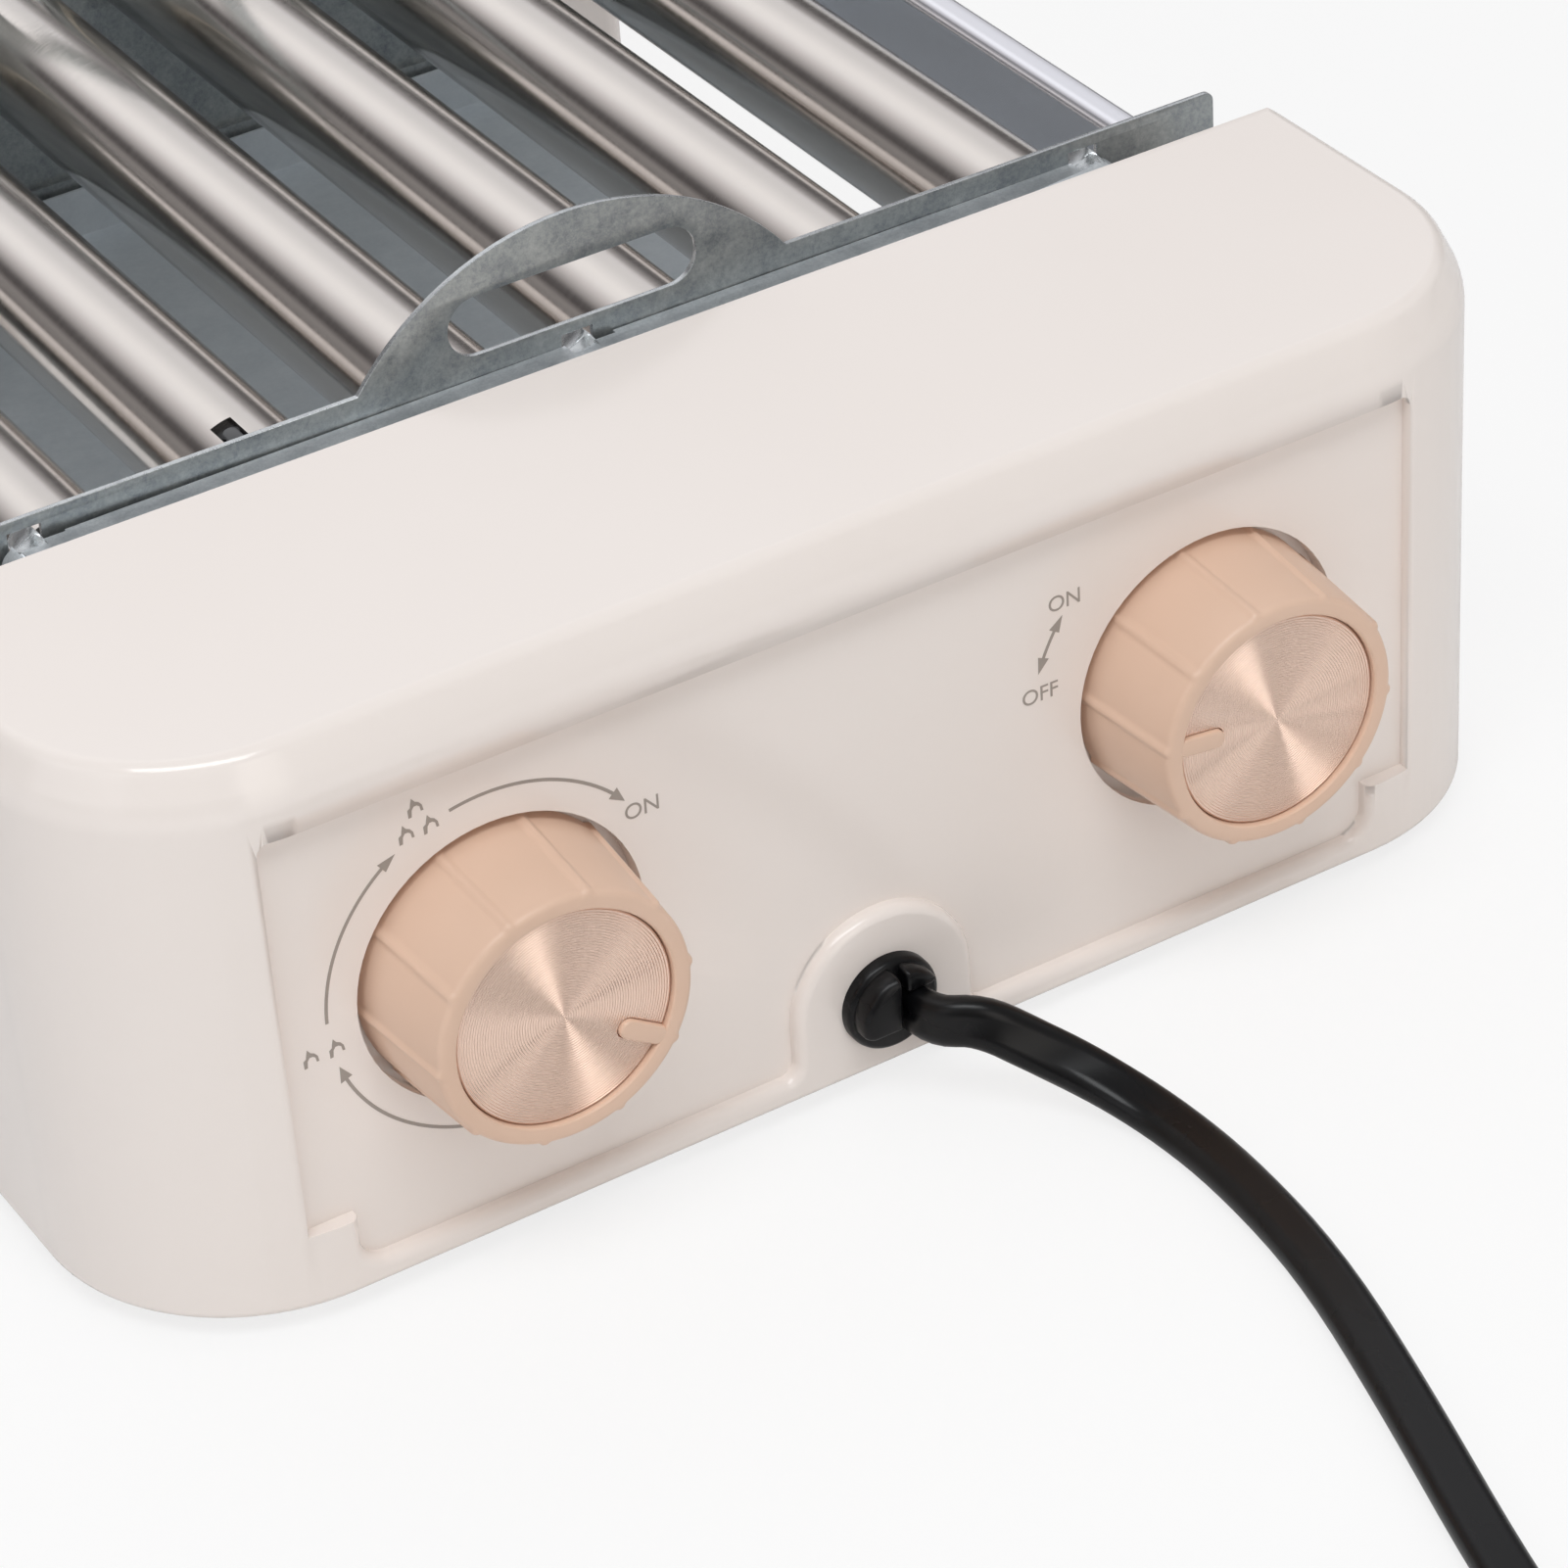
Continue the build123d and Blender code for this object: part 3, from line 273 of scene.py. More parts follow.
def makePlainFinishes():
    looks = {
        # glossy ABS from a polished mould: mirror edges to its highlights, a faint orange peel
        "creamAbs": {"pale": "#F6EEE9", "deep": "#F3EAE4", "rough": (0.12, 0.18), "driftMm": 60,
                     "skinMm": 2.2, "skinHeightMm": 0.004, "surface": {"IOR": 1.53}},
        # the same plastic on the covers below, left from a plain mould
        "coverAbs": {"pale": "#D9D1C8", "deep": "#D2C9C0", "rough": (0.45, 0.55), "driftMm": 40,
                     "skinMm": 0.8, "skinHeightMm": 0.02, "surface": {"IOR": 1.53}},
        # warm beige ABS, satin: soft wide highlights
        "knobAbs": {"pale": "#E9C9B3", "deep": "#E2BFA7", "rough": (0.34, 0.42), "driftMm": 25,
                    "skinMm": 0.9, "skinHeightMm": 0.004, "surface": {"IOR": 1.53}},
        # black nylon: dark, satin, with a slight mould texture
        "blackNylon": {"pale": "#0E0E10", "deep": "#0A0A0C", "rough": (0.24, 0.34), "driftMm": 12,
                       "skinMm": 0.6, "skinHeightMm": 0.01,
                       "surface": {"IOR": 1.53, "Specular IOR Level": 0.22}},
        # grey nylon of the drive lugs, rubbed a little shiny
        "greyNylon": {"pale": "#4A4B4D", "deep": "#3C3D3F", "rough": (0.3, 0.42), "driftMm": 3,
                      "skinMm": 0.5, "skinHeightMm": 0.006, "surface": {"IOR": 1.53}},
        # pad-printed epoxy ink, warm grey and matt
        "greyInk": {"pale": "#A89F97", "deep": "#9E958E", "rough": (0.5, 0.6), "driftMm": 2,
                    "skinMm": 0.3, "skinHeightMm": 0.004, "surface": {"IOR": 1.5}},
        # acetal bushes, off-white and waxy
        "acetal": {"pale": "#CFC9BD", "deep": "#C4BDB0", "rough": (0.4, 0.5), "driftMm": 10,
                   "skinMm": 0.8, "skinHeightMm": 0.01, "surface": {"IOR": 1.48}},
        # rubber feet: matt and dusty
        "rubber": {"pale": "#2A2A2B", "deep": "#202021", "rough": (0.75, 0.9), "driftMm": 8,
                   "skinMm": 0.5, "skinHeightMm": 0.03, "surface": {"IOR": 1.52}},
        # turned and plated steel of pins, screws and shafts
        "platedSteel": {"pale": "#B9B9B6", "deep": "#A5A5A2", "rough": (0.28, 0.4), "driftMm": 3,
                        "skinMm": 0.4, "skinHeightMm": 0.004, "surface": {"Metallic": 1.0}},
        # soft PVC of the lead: near black with a broad sheen
        "pvc": {"pale": "#0D0D0F", "deep": "#09090B", "rough": (0.22, 0.34), "driftMm": 18,
                "skinMm": 0.7, "skinHeightMm": 0.012,
                "surface": {"IOR": 1.53, "Specular IOR Level": 0.25}},
        # nickel-plated brass pins
        "nickel": {"pale": "#C9C6BE", "deep": "#B9B5AC", "rough": (0.15, 0.25), "driftMm": 4,
                   "skinMm": 0.5, "skinHeightMm": 0.003, "surface": {"Metallic": 1.0}},
    }
    for name, look in looks.items():
        finishes[name] = mouldedFinish(name, look)


def makeSheetFinish(name, look):
    # sheet steel, plated with zinc or bare: soft cloudy spangle and rolled grain; a dull white
    # oxide film scatters part of the light, the more the less metal shows
    material, surface = newMaterial(name, {"Metallic": look["metal"]})
    links = material.node_tree.links
    place = addNode(material, "ShaderNodeTexCoord")
    cloud = addNode(material, "ShaderNodeTexNoise",
                    {"Scale": perMm(look["cloudMm"]), "Detail": 6.0, "Roughness": 0.7},
                    {"Vector": place.outputs["Object"]})
    speck = addNode(material, "ShaderNodeTexNoise",
                    {"Scale": perMm(look["speckMm"]), "Detail": 3.0, "Roughness": 0.8},
                    {"Vector": place.outputs["Object"]})
    both = addNode(material, "ShaderNodeMix", {0: 0.45},
                   {2: cloud.outputs["Fac"], 3: speck.outputs["Fac"]})
    ramp = addNode(material, "ShaderNodeValToRGB", None, {"Fac": both.outputs[0]})
    ramp.color_ramp.elements[0].position, ramp.color_ramp.elements[1].position = 0.36, 0.64
    ramp.color_ramp.elements[0].color = colour(look["deep"])
    ramp.color_ramp.elements[1].color = colour(look["pale"])
    links.new(ramp.outputs["Color"], surface.inputs["Base Color"])
    low, high = look["rough"]
    gloss = addNode(material, "ShaderNodeMapRange",
                    {"From Min": 0.35, "From Max": 0.65, "To Min": low, "To Max": high},
                    {"Value": both.outputs[0]})
    links.new(gloss.outputs["Result"], surface.inputs["Roughness"])
    relief = addNode(material, "ShaderNodeBump", {"Strength": 0.5, "Distance": 0.00003},
                     {"Height": speck.outputs["Fac"]})
    links.new(relief.outputs["Normal"], surface.inputs["Normal"])
    return material


belt = {"markMm": 0.5, "heightMm": 0.01, "rough": (0.1, 0.2)}  # 0.05 mm belt marks, drawn coarser


def makeTubeFinish(name, tint, metal):
    # polished stainless steel: near mirror, with the faint marks that the polishing belt leaves
    material, surface = newMaterial(name, {"Metallic": metal, "Base Color": colour(tint)})
    low, high = belt["rough"]
    links = material.node_tree.links
    place = addNode(material, "ShaderNodeTexCoord")
    stretch = addNode(material, "ShaderNodeMapping", {"Scale": (0.15, 1.0, 0.15)},
                      {"Vector": place.outputs["Object"]})
    rings = addNode(material, "ShaderNodeTexNoise",
                    {"Scale": perMm(belt["markMm"]), "Detail": 4.0, "Roughness": 0.7},
                    {"Vector": stretch.outputs["Vector"]})
    gloss = addNode(material, "ShaderNodeMapRange",
                    {"From Min": 0.3, "From Max": 0.7, "To Min": low, "To Max": high},
                    {"Value": rings.outputs["Fac"]})
    links.new(gloss.outputs["Result"], surface.inputs["Roughness"])
    relief = addNode(material, "ShaderNodeBump",
                     {"Strength": 0.25, "Distance": belt["heightMm"] / 1000},
                     {"Height": rings.outputs["Fac"]})
    links.new(relief.outputs["Normal"], surface.inputs["Normal"])
    return material


# 0.1 mm turning grooves, drawn coarser
spun = {"tint": "#FFE1CF", "metal": 0.84, "rough": 0.28, "grooveMm": 0.42, "heightMm": 0.06}


def makeDiscFinish(name, centre):
    # spun rose-gold anodised aluminium: concentric grooves spread the light across themselves,
    # so a lamp shows as a pair of wedges
    material, surface = newMaterial(name, {"Metallic": spun["metal"], "Roughness": spun["rough"],
                                           "Anisotropic": 1.0, "Base Color": colour(spun["tint"])})
    links = material.node_tree.links
    place = addNode(material, "ShaderNodeTexCoord")
    arm = addNode(material, "ShaderNodeVectorMath", {"operation": "SUBTRACT", 1: centre},
                  {0: place.outputs["Object"]})
    flat = addNode(material, "ShaderNodeVectorMath", {"operation": "MULTIPLY", 1: (1, 0, 1)},
                   {0: arm.outputs["Vector"]})
    outward = addNode(material, "ShaderNodeVectorTransform",
                      {"vector_type": "NORMAL", "convert_from": "OBJECT", "convert_to": "WORLD"},
                      {"Vector": flat.outputs["Vector"]})
    links.new(outward.outputs["Vector"], surface.inputs["Tangent"])
    radius = addNode(material, "ShaderNodeVectorMath", {"operation": "LENGTH"},
                     {0: flat.outputs["Vector"]})
    wave = addNode(material, "ShaderNodeMath",
                   {"operation": "MULTIPLY", 1: 2 * math.pi * perMm(spun["grooveMm"])},
                   {0: radius.outputs["Value"]})
    groove = addNode(material, "ShaderNodeMath", {"operation": "SINE"}, {0: wave.outputs["Value"]})
    relief = addNode(material, "ShaderNodeBump",
                     {"Strength": 1.0, "Distance": spun["heightMm"] / 1000},
                     {"Height": groove.outputs["Value"]})
    links.new(relief.outputs["Normal"], surface.inputs["Normal"])
    return material


makePlainFinishes()
finishes["zincSheet"] = makeSheetFinish("zincSheet", {
    "pale": "#B7BBBA", "deep": "#83898D", "cloudMm": 7, "speckMm": 0.7, "rough": (0.3, 0.44),
    "metal": 0.7})
# painted light: the same zinc as the plates, drawn paler and bluer for the light that the covers'
# upward ledge catches
finishes["coverSheetPaintedLight"] = makeSheetFinish("coverSheetPaintedLight", {
    "pale": "#E2E6E9", "deep": "#B9BFC4", "cloudMm": 6, "speckMm": 0.7, "rough": (0.34, 0.46),
    "metal": 0.55})
# bare steel, paler than the zinc: on the punched edges partly real, partly a painted highlight line
# along the plates
finishes["bareSteel"] = makeSheetFinish("bareSteel", {
    "pale": "#D3D6D8", "deep": "#AFB3B6", "cloudMm": 3, "speckMm": 0.7, "rough": (0.22, 0.34),
    "metal": 0.8})
finishes["traySheet"] = makeSheetFinish("traySheet", {
    "pale": "#D2D9DE", "deep": "#C4CCD2", "cloudMm": 14, "speckMm": 2.2, "rough": (0.4, 0.5),
    "metal": 0.25})
finishes["stainlessTube"] = makeTubeFinish("stainlessTube", "#D8D2CD", 1.0)
finishes["stainlessRail"] = makeTubeFinish("stainlessRail", "#E8E8EE", 0.8)  # cooler than the tubes
print("materials ready")


# mains lead: a flat twin flex, laid from the bushing down to the table, where the rest is coiled
lead = {
    "width": 8.0, "thickness": 5.0, "groove": 0.42, "grooveWidth": 0.9, "corners": (0.75, 0.8),
    "sides": 24, "exit": (2.4, -168.85, 15.4),
    "route": [(2.4, -168.85, 15.4), (2.4, -175.0, 15.4), (7.9, -179.7, 16.4), (14.7, -183.5, 10.9),
              (21.0, -189.6, 6.4), (26.3, -200.2, 2.5), (27.0, -217.0, 2.5), (24.7, -241.0, 2.5),
              (17.2, -270.0, 2.5), (6.8, -305.0, 2.5), (1.2, -330.0, 2.5), (0.2, -349.0, 2.5)],
    "tilts": [85, 85, 75, 50, 22, 5, 0],  # the wide side stands up at the bushing, then lies down
    "tube": 6.4, "coilOuter": 42.0, "coilPitch": 8.6, "layerPitch": 5.3,
    "turnSteps": [0, -1, -2, -3, -4, -3, -2, -1, 0, 1, 4], "climbAt": 4, "plugAxis": 7.0,
    "stepsPerHalfTurn": 8,
}


def coilPoints():
    # half turns that spiral in, climb one layer and spiral out again, and run into the plug;
    # these are in millimetres, as the route is
    entry, before = Vector(lead["route"][-1]), Vector(lead["route"][-2])
    heading = (entry - before).normalized()
    side = Vector((heading.y, -heading.x, 0))
    here = entry + heading * lead["tube"]
    points, way = [here.copy()], 1
    for k, step in enumerate(lead["turnSteps"]):
        radius = lead["coilOuter"] + step * lead["coilPitch"] / 2
        centre = here + side * way * radius
        last = k == len(lead["turnSteps"]) - 1
        start = here.z
        rise = lead["thickness"] / 2 + (lead["layerPitch"] if k >= lead["climbAt"] else 0)
        end = lead["plugAxis"] if last else rise
        ahead = heading * way
        for n in range(1, lead["stepsPerHalfTurn"] + 1):
            turn = math.pi * n / lead["stepsPerHalfTurn"]
            place = centre - side * way * radius * math.cos(turn) + ahead * radius * math.sin(turn)
            place.z = start + (end - start) * (1 - math.cos(turn)) / 2
            points.append(place)
        here = points[-1].copy()
        way = -way
    points.append(here + heading * way * lead["tube"])
    return points, heading * way


def flexProfile():
    # the section of a twin flex: two cores side by side with a shallow groove between them
    half, core = lead["width"] / 2, lead["thickness"] / 2
    wide, tall = lead["corners"]  # powers below 1 make a fuller shape than an ellipse
    outline = []
    for k in range(lead["sides"]):
        turn = 2 * math.pi * k / lead["sides"]
        across, upward = math.cos(turn), math.sin(turn)
        waist = 1 - lead["groove"] / core * math.exp(-(across * half / lead["grooveWidth"]) ** 2)
        outline.append((half * math.copysign(abs(across) ** wide, across),
                        core * waist * math.copysign(abs(upward) ** tall, upward)))
    data = bpy.data.curves.new("flexProfile", "CURVE")
    data.dimensions = "2D"
    line = data.splines.new("POLY")
    line.points.add(len(outline) - 1)
    for point, (x, y) in zip(line.points, outline):
        point.co = (*metres(x, y), 0, 1)
    line.use_cyclic_u = True
    return bpy.data.objects.new("flexProfile", data)


def makeLead():
    turns, _ = coilPoints()
    control = [Vector(p) for p in lead["route"]] + turns
    data = bpy.data.curves.new("mainsLead", "CURVE")
    data.dimensions = "3D"
    data.twist_mode = "Z_UP"
    data.resolution_u = 5
    line = data.splines.new("NURBS")
    line.points.add(len(control) - 1)
    for k, (point, place) in enumerate(zip(line.points, control)):
        point.co = (*metres(*place), 1)
        if k < len(lead["tilts"]):
            point.tilt = math.radians(lead["tilts"][k])
    line.order_u = 3
    line.use_endpoint_u = True
    drawn = bpy.data.objects.new("mainsLead", data)
    scene.collection.objects.link(drawn)
    bpy.context.view_layer.update()
    centreLine = meshOf(drawn)
    path = [v.co.copy() for v in centreLine.vertices]
    bpy.data.meshes.remove(centreLine)
    profile = flexProfile()
    scene.collection.objects.link(profile)
    data.bevel_mode = "OBJECT"
    data.bevel_object = profile
    data.use_fill_caps = True
    bpy.context.view_layer.update()
    piece = bpy.data.objects.new("mains_lead", meshOf(drawn))
    scene.collection.objects.link(piece)
    for scrap in (drawn, profile):
        bpy.data.objects.remove(scrap)
    selectOnly(piece)
    bpy.ops.object.mode_set(mode="EDIT")
    closeUp()
    settle(piece, "mains_lead", "frame", finishes["pvc"], ("mains_cord", "cord_coil"), 50)
    return piece, path


flex, flexPath = makeLead()
print("lead laid")


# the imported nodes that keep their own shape
nodeFinishes = {
    "zincSheet": ["base_pan", "heater_bracket", "motor_bracket"],
    "coverAbs": ["front_base_cover", "rear_base_cover"],
    "blackNylon": ["heat_control", "motor_switch", "motor_gear"]
    + [f"drive_hub_{k}" for k in range(1, 7)] + [f"idler_gear_{k}" for k in range(1, 6)],
    "acetal": ["front_bushes", "rear_bushes", "terminal_block"],
    "rubber": ["rubber_feet"],
    "platedSteel": ["base_screws", "rail_screws", "idler_pins", "gear_motor", "heater_rods",
                    "heat_shaft", "motor_shaft"],
    "nickel": ["plug_pins"],
}


def dressNodes():
    for finish, names in nodeFinishes.items():
        for name in names:
            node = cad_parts[name]
            node.data.materials.clear()
            node.data.materials.append(finishes[finish])
    print("nodes dressed")


dressNodes()


# turn knobs: ribbed caps with a raised pointer and a spun metal disc let into the front
knob = {
    "heat": {"x": -61.0, "turn": -33.0}, "motor": {"x": 61.0, "turn": 173.0}, "rise": -31.0,
    "sides": 360, "ribs": 10, "ribHeights": [0.46, 0.4, 0.14],
    "profile": [(3.1, 87.4), (3.1, 75.6), (5.5, 75.6), (5.5, 87.4), (16.0, 87.4), (16.0, 73.7),
                (16.2, 73.5), (21.65, 73.5), (21.9, 73.75), (20.35, 93.9), (20.28, 94.3),
                (20.08, 94.68), (19.75, 94.92), (19.35, 95.0), (18.0, 95.0), (17.7, 94.93),
                (17.48, 94.7), (17.42, 94.4), (17.42, 92.6), (0.5, 92.6)],
    "wall": 19.5, "crown": 94.95,  # ribs rise outside this radius and below this height
    "girth": 20.4,  # the radius at which the heights of the ribs hold
    "pointer": {"inner": 10.0, "outer": 18.2, "width": 3.0, "low": 92.4, "high": 94.95, "edge": 0.35},
    "disc": [(17.16, 92.62), (17.16, 94.0), (17.06, 94.1), (0.4, 94.12)],
    "slot": {"gap": 0.2, "past": 2.0, "low": 93.0, "high": 95.0},
}


def raiseRibs(cap):
    # pulls the points nearest each rib outwards, most on its crest
    step, pitch = 360 / knob["sides"], 360 / knob["ribs"]
    bpy.ops.object.mode_set(mode="EDIT")
    for place, height in enumerate(knob["ribHeights"]):
        grow = 1 + height / knob["girth"]
        for side in ((1,) if place == 0 else (-1, 1)):
            def onRib(co):
                turn = math.degrees(math.atan2(co.y, co.x)) - side * place * step
                off = (turn + pitch / 2) % pitch - pitch / 2
                return (abs(off) < step / 3 and math.hypot(co.x, co.y) * 1000 > knob["wall"]
                        and co.z * 1000 < knob["crown"])

            selectWhere(cap, "VERT", onRib)
            bpy.ops.transform.resize(value=(grow, grow, 1), center_override=(0, 0, 0))
    bpy.ops.object.mode_set(mode="OBJECT")


def makeKnobs():
    cap = lathe(knob["profile"], knob["sides"])
    raiseRibs(cap)
    bar = knob["pointer"]
    pointer = slotBar(bar["inner"], bar["outer"], bar["width"], bar["low"], bar["high"], bar["edge"])
    cap = joinUp([cap, pointer])
    disc = lathe(knob["disc"], 160)
    room = knob["slot"]
    cutter = slotBar(bar["inner"] - room["gap"], bar["outer"] + room["past"],
                     bar["width"] + 2 * room["gap"], room["low"], room["high"], 0)
    addModifier(disc, "BOOLEAN", operation="DIFFERENCE", solver="EXACT", object=cutter)
    for name in ("heat", "motor"):
        place = knob[name]
        discFinish = makeDiscFinish(f"{name}SpunDisc", spot(place["x"], 0, knob["rise"]))
        for piece, made, node, slot, finish in (
                (cap, f"{name}_knob_cap", f"{name}_knob", "knob_plastic", finishes["knobAbs"]),
                (disc, f"{name}_knob_disc_face", f"{name}_knob_disc", "rose_gold", discFinish)):
            one = twin(piece)
            one.matrix_world = facing(place["x"], knob["rise"], 0, place["turn"])
            settle(one, made, f"{name}_dial", finish, (node,), 32)
    for scrap in (cap, disc, cutter):
        bpy.data.objects.remove(scrap)
    print("knobs ready")


makeKnobs()


# rollers: thin polished tubes, necked behind, with a notch in front for the drive lug
roller = {
    "xs": [-85.0, -51.0, -17.0, 17.0, 51.0, 85.0],
    "turns": [200.0, 105.0, 141.0, 275.0, 318.0, 232.0],
    "profile": [(10.1, -4.2), (10.78, -4.2), (10.9, -4.32), (10.9, -184.3), (10.75, -184.7),
                (8.1, -186.8), (8.0, -187.1), (8.0, -196.4), (7.2, -196.4), (7.2, -187.0),
                (10.1, -184.5), (10.1, -4.2)],
    "notch": {"out": -10.8, "length": 6.5, "width": 3.6, "radius": 10.5, "depth": 4.0},
    "lug": {"width": 2.5, "length": 4.6, "low": 8.5, "high": 10.75, "edge": 0.3, "ahead": 0.9},
}


def makeRollers():
    tube = lathe(roller["profile"], 96, capped=False)
    notch = roller["notch"]
    bpy.ops.mesh.primitive_cube_add(size=1, location=metres(notch["radius"], 0, notch["out"]),
                                    scale=metres(notch["depth"], notch["width"], notch["length"]))
    cutter = bpy.context.object
    addModifier(tube, "BOOLEAN", operation="DIFFERENCE", solver="EXACT", object=cutter)
    lug = roller["lug"]
    key = slotBar(0, lug["length"], lug["width"], lug["low"], lug["high"], lug["edge"])
    # lays the key along the tube with its top outwards; this swap of axes turns its faces inside
    # out, which closeUp mends
    swap = Matrix(((0, 0, 1, 0), (0, 1, 0, 0), (1, 0, 0, 0), (0, 0, 0, 1)))
    start = notch["out"] - lug["length"] / 2 + lug["ahead"]
    key.matrix_world = Matrix.Translation(metres(0, 0, start)) @ swap
    selectOnly(key)
    bpy.ops.object.transform_apply(location=True, rotation=True, scale=True)
    bpy.ops.object.mode_set(mode="EDIT")
    closeUp()
    for k, (x, turn) in enumerate(zip(roller["xs"], roller["turns"]), 1):
        for piece, name, slot, finish, nodes in (
                (tube, f"roller_shell_{k}", "stainless", "stainlessTube", (f"roller_tube_{k}",)),
                (key, f"roller_key_{k}", "black_plastic", "greyNylon", ())):
            one = twin(piece)
            one.matrix_world = facing(x, 0, 0, turn)
            settle(one, name, f"roller_{k}", finishes[finish], nodes, 40)
    for scrap in (tube, cutter, key):
        bpy.data.objects.remove(scrap)
    print("rollers ready")


makeRollers()


# grey pad-printed marks beside the knobs: heat settings, arrows and the words ON and OFF
marks = {
    "face": 76.8, "ink": 0.05, "stroke": 0.52, "head": (2.7, 1.0), "arcSteps": 24, "letter": 3.7,
    "sweeps": [  # centre, radius, from and to in degrees, an arrow at the start too
        ((-61.2, -30.6), 27.9, 101.6, 38.8, False), ((-61.2, -30.6), 27.9, 179.0, 121.5, False),
        ((-61.2, -30.6), 27.9, -100.0, -164.4, False), ((61.0, -30.5), 32.2, 143.6, 161.0, True)],
    "flames": [(-71.8, -0.5), (-73.6, -4.3), (-69.7, -4.1), (-92.1, -34.7), (-88.0, -34.6)],
    "flame": [(-1.25, -1.5), (-1.3, -0.2), (-0.85, 0.1), (-0.75, 0.75), (-0.55, 1.55), (-0.05, 0.85),
              (0.55, 0.55), (1.0, -0.05), (1.15, -0.95), (0.75, -0.95), (0.6, -0.15), (0.2, 0.15),
              (-0.3, 0.15), (-0.65, -0.35), (-0.75, -1.45)],
    "words": [("ON", -36.8, -15.5), ("ON", 35.6, -9.1), ("OFF", 30.75, -23.6)],
}


def arrowOutline(centre, radius, start, end, both):
    # an arc of even width that ends in a pointed head, as one outline
    long, half = marks["head"]
    steps = marks["arcSteps"]
    step = math.degrees(long / radius) * (1 if end > start else -1)
    first, last = (start + step if both else start), end - step

    def at(turn, r):
        angle = math.radians(turn)
        return (centre[0] + r * math.cos(angle), centre[1] + r * math.sin(angle))

    turns = [first + (last - first) * n / steps for n in range(steps + 1)]
    width = marks["stroke"] / 2
    outline = [at(turn, radius + width) for turn in turns]
    outline += [at(last, radius + half), at(end, radius), at(last, radius - half)]
    outline += [at(turn, radius - width) for turn in reversed(turns)]
    if both:
        outline += [at(first, radius - half), at(start, radius), at(first, radius + half)]
    return outline


def makeMarks():
    outlines = [arrowOutline(*sweep) for sweep in marks["sweeps"]]
    outlines += [[(x + dx, y + dy) for dx, dy in marks["flame"]] for x, y in marks["flames"]]
    data = bpy.data.curves.new("panelMarks", "CURVE")
    data.dimensions = "2D"
    data.fill_mode = "BOTH"
    data.extrude = marks["ink"] / 2000
    for outline in outlines:
        line = data.splines.new("POLY")
        line.points.add(len(outline) - 1)
        for point, (x, y) in zip(line.points, outline):
            point.co = (*metres(x, y), 0, 1)
        line.use_cyclic_u = True
    drawing = bpy.data.objects.new("panelMarks", data)
    scene.collection.objects.link(drawing)
    drawing.matrix_world = facing(0, 0, marks["face"] + marks["ink"] / 2)
    prints = [drawing]
    for word, x, rise in marks["words"]:
        bpy.ops.object.select_all(action="DESELECT")
        bpy.ops.object.text_add()
        label = bpy.context.object
        label.data.body = word
        label.data.size = marks["letter"] / 1000
        label.data.align_x = label.data.align_y = "CENTER"
        label.data.extrude = marks["ink"] / 2000
        label.matrix_world = facing(x, rise, marks["face"] + marks["ink"] / 2)
        prints.append(label)
    for item in prints:
        selectOnly(item)
        bpy.ops.object.convert(target="MESH")
        bpy.ops.object.transform_apply(location=True, rotation=True, scale=True)
    piece = joinUp(prints)
    bpy.ops.object.mode_set(mode="EDIT")
    closeUp()
    settle(piece, "panel_marks", "frame", finishes["greyInk"], (), 0)
    print("marks printed")


makeMarks()


# housings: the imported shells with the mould's rounded edges
shell = {
    "half": 123.5, "corner": 33.0, "front": 79.3, "top": 17.5, "bandRise": 10.3,
    "crown": (1.6, 4), "shoulder": (2.2, 3), "skin": 0.4,
    "well": {"floor": 74.8, "deeper": 1.5, "radius": 22.6, "wider": 0.7},
    "panelCorner": {"beyond": 95.0, "out": 72.0, "low": 6.0, "high": 30.0},
    "upright": 0.5,  # how far an upright edge may lean
}


def shellDepth(co):  # how far inside the housing's plan outline a point lies, in millimetres
    x, y = abs(co.x) * 1000, abs(co.y * 1000 - grill["front"] - grill["span"] / 2)
    reach = grill["span"] / 2 + shell["front"]
    dx, dy = x - (shell["half"] - shell["corner"]), y - (reach - shell["corner"])
    if dx > 0 and dy > 0:
        return shell["corner"] - math.hypot(dx, dy)
    return min(shell["half"] - x, reach - y)


def openCopy(name):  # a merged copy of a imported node, left in edit mode
    piece = twin(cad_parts[name])
    selectOnly(piece)
    bpy.ops.object.mode_set(mode="EDIT")
    bpy.ops.mesh.select_all(action="SELECT")
    bpy.ops.mesh.remove_doubles(threshold=weld / 1000)
    bpy.ops.mesh.dissolve_limited(angle_limit=math.radians(0.5))
    return piece


def bevelEdges(size, steps):
    bpy.ops.mesh.bevel(offset=size / 1000, segments=steps, affect="EDGES", clamp_overlap=False)


def outOf(co):  # how far a point lies out from the nearer end plate, in millimetres
    return abs(co.y * 1000 - grill["front"] - grill["span"] / 2) - grill["span"] / 2


def fromKnob(co):  # how far a point lies from the nearer knob's axis, in millimetres
    return math.hypot(abs(co.x) * 1000 - knob["motor"]["x"], co.z * 1000 - grill["axis"] - knob["rise"])


def deepenWells(piece):  # makes the wells round the knobs as deep and wide as the photograph shows
    well = shell["well"]
    low = well["floor"] - well["deeper"]
    grow = 1 + well["wider"] / well["radius"]
    selectWhere(piece, "VERT", lambda co: abs(outOf(co) - well["floor"]) < near
                and fromKnob(co) < well["radius"] + near)
    bpy.ops.transform.translate(value=(0, well["deeper"] / 1000, 0))
    for name in ("heat", "motor"):
        middle = spot(knob[name]["x"], 0, knob["rise"])
        selectWhere(piece, "VERT", lambda co: abs(fromKnob(co) - well["radius"]) < near
                    and outOf(co) > low - near and co.x * middle.x > 0)
        bpy.ops.transform.resize(value=(grow, 1, grow), center_override=middle)


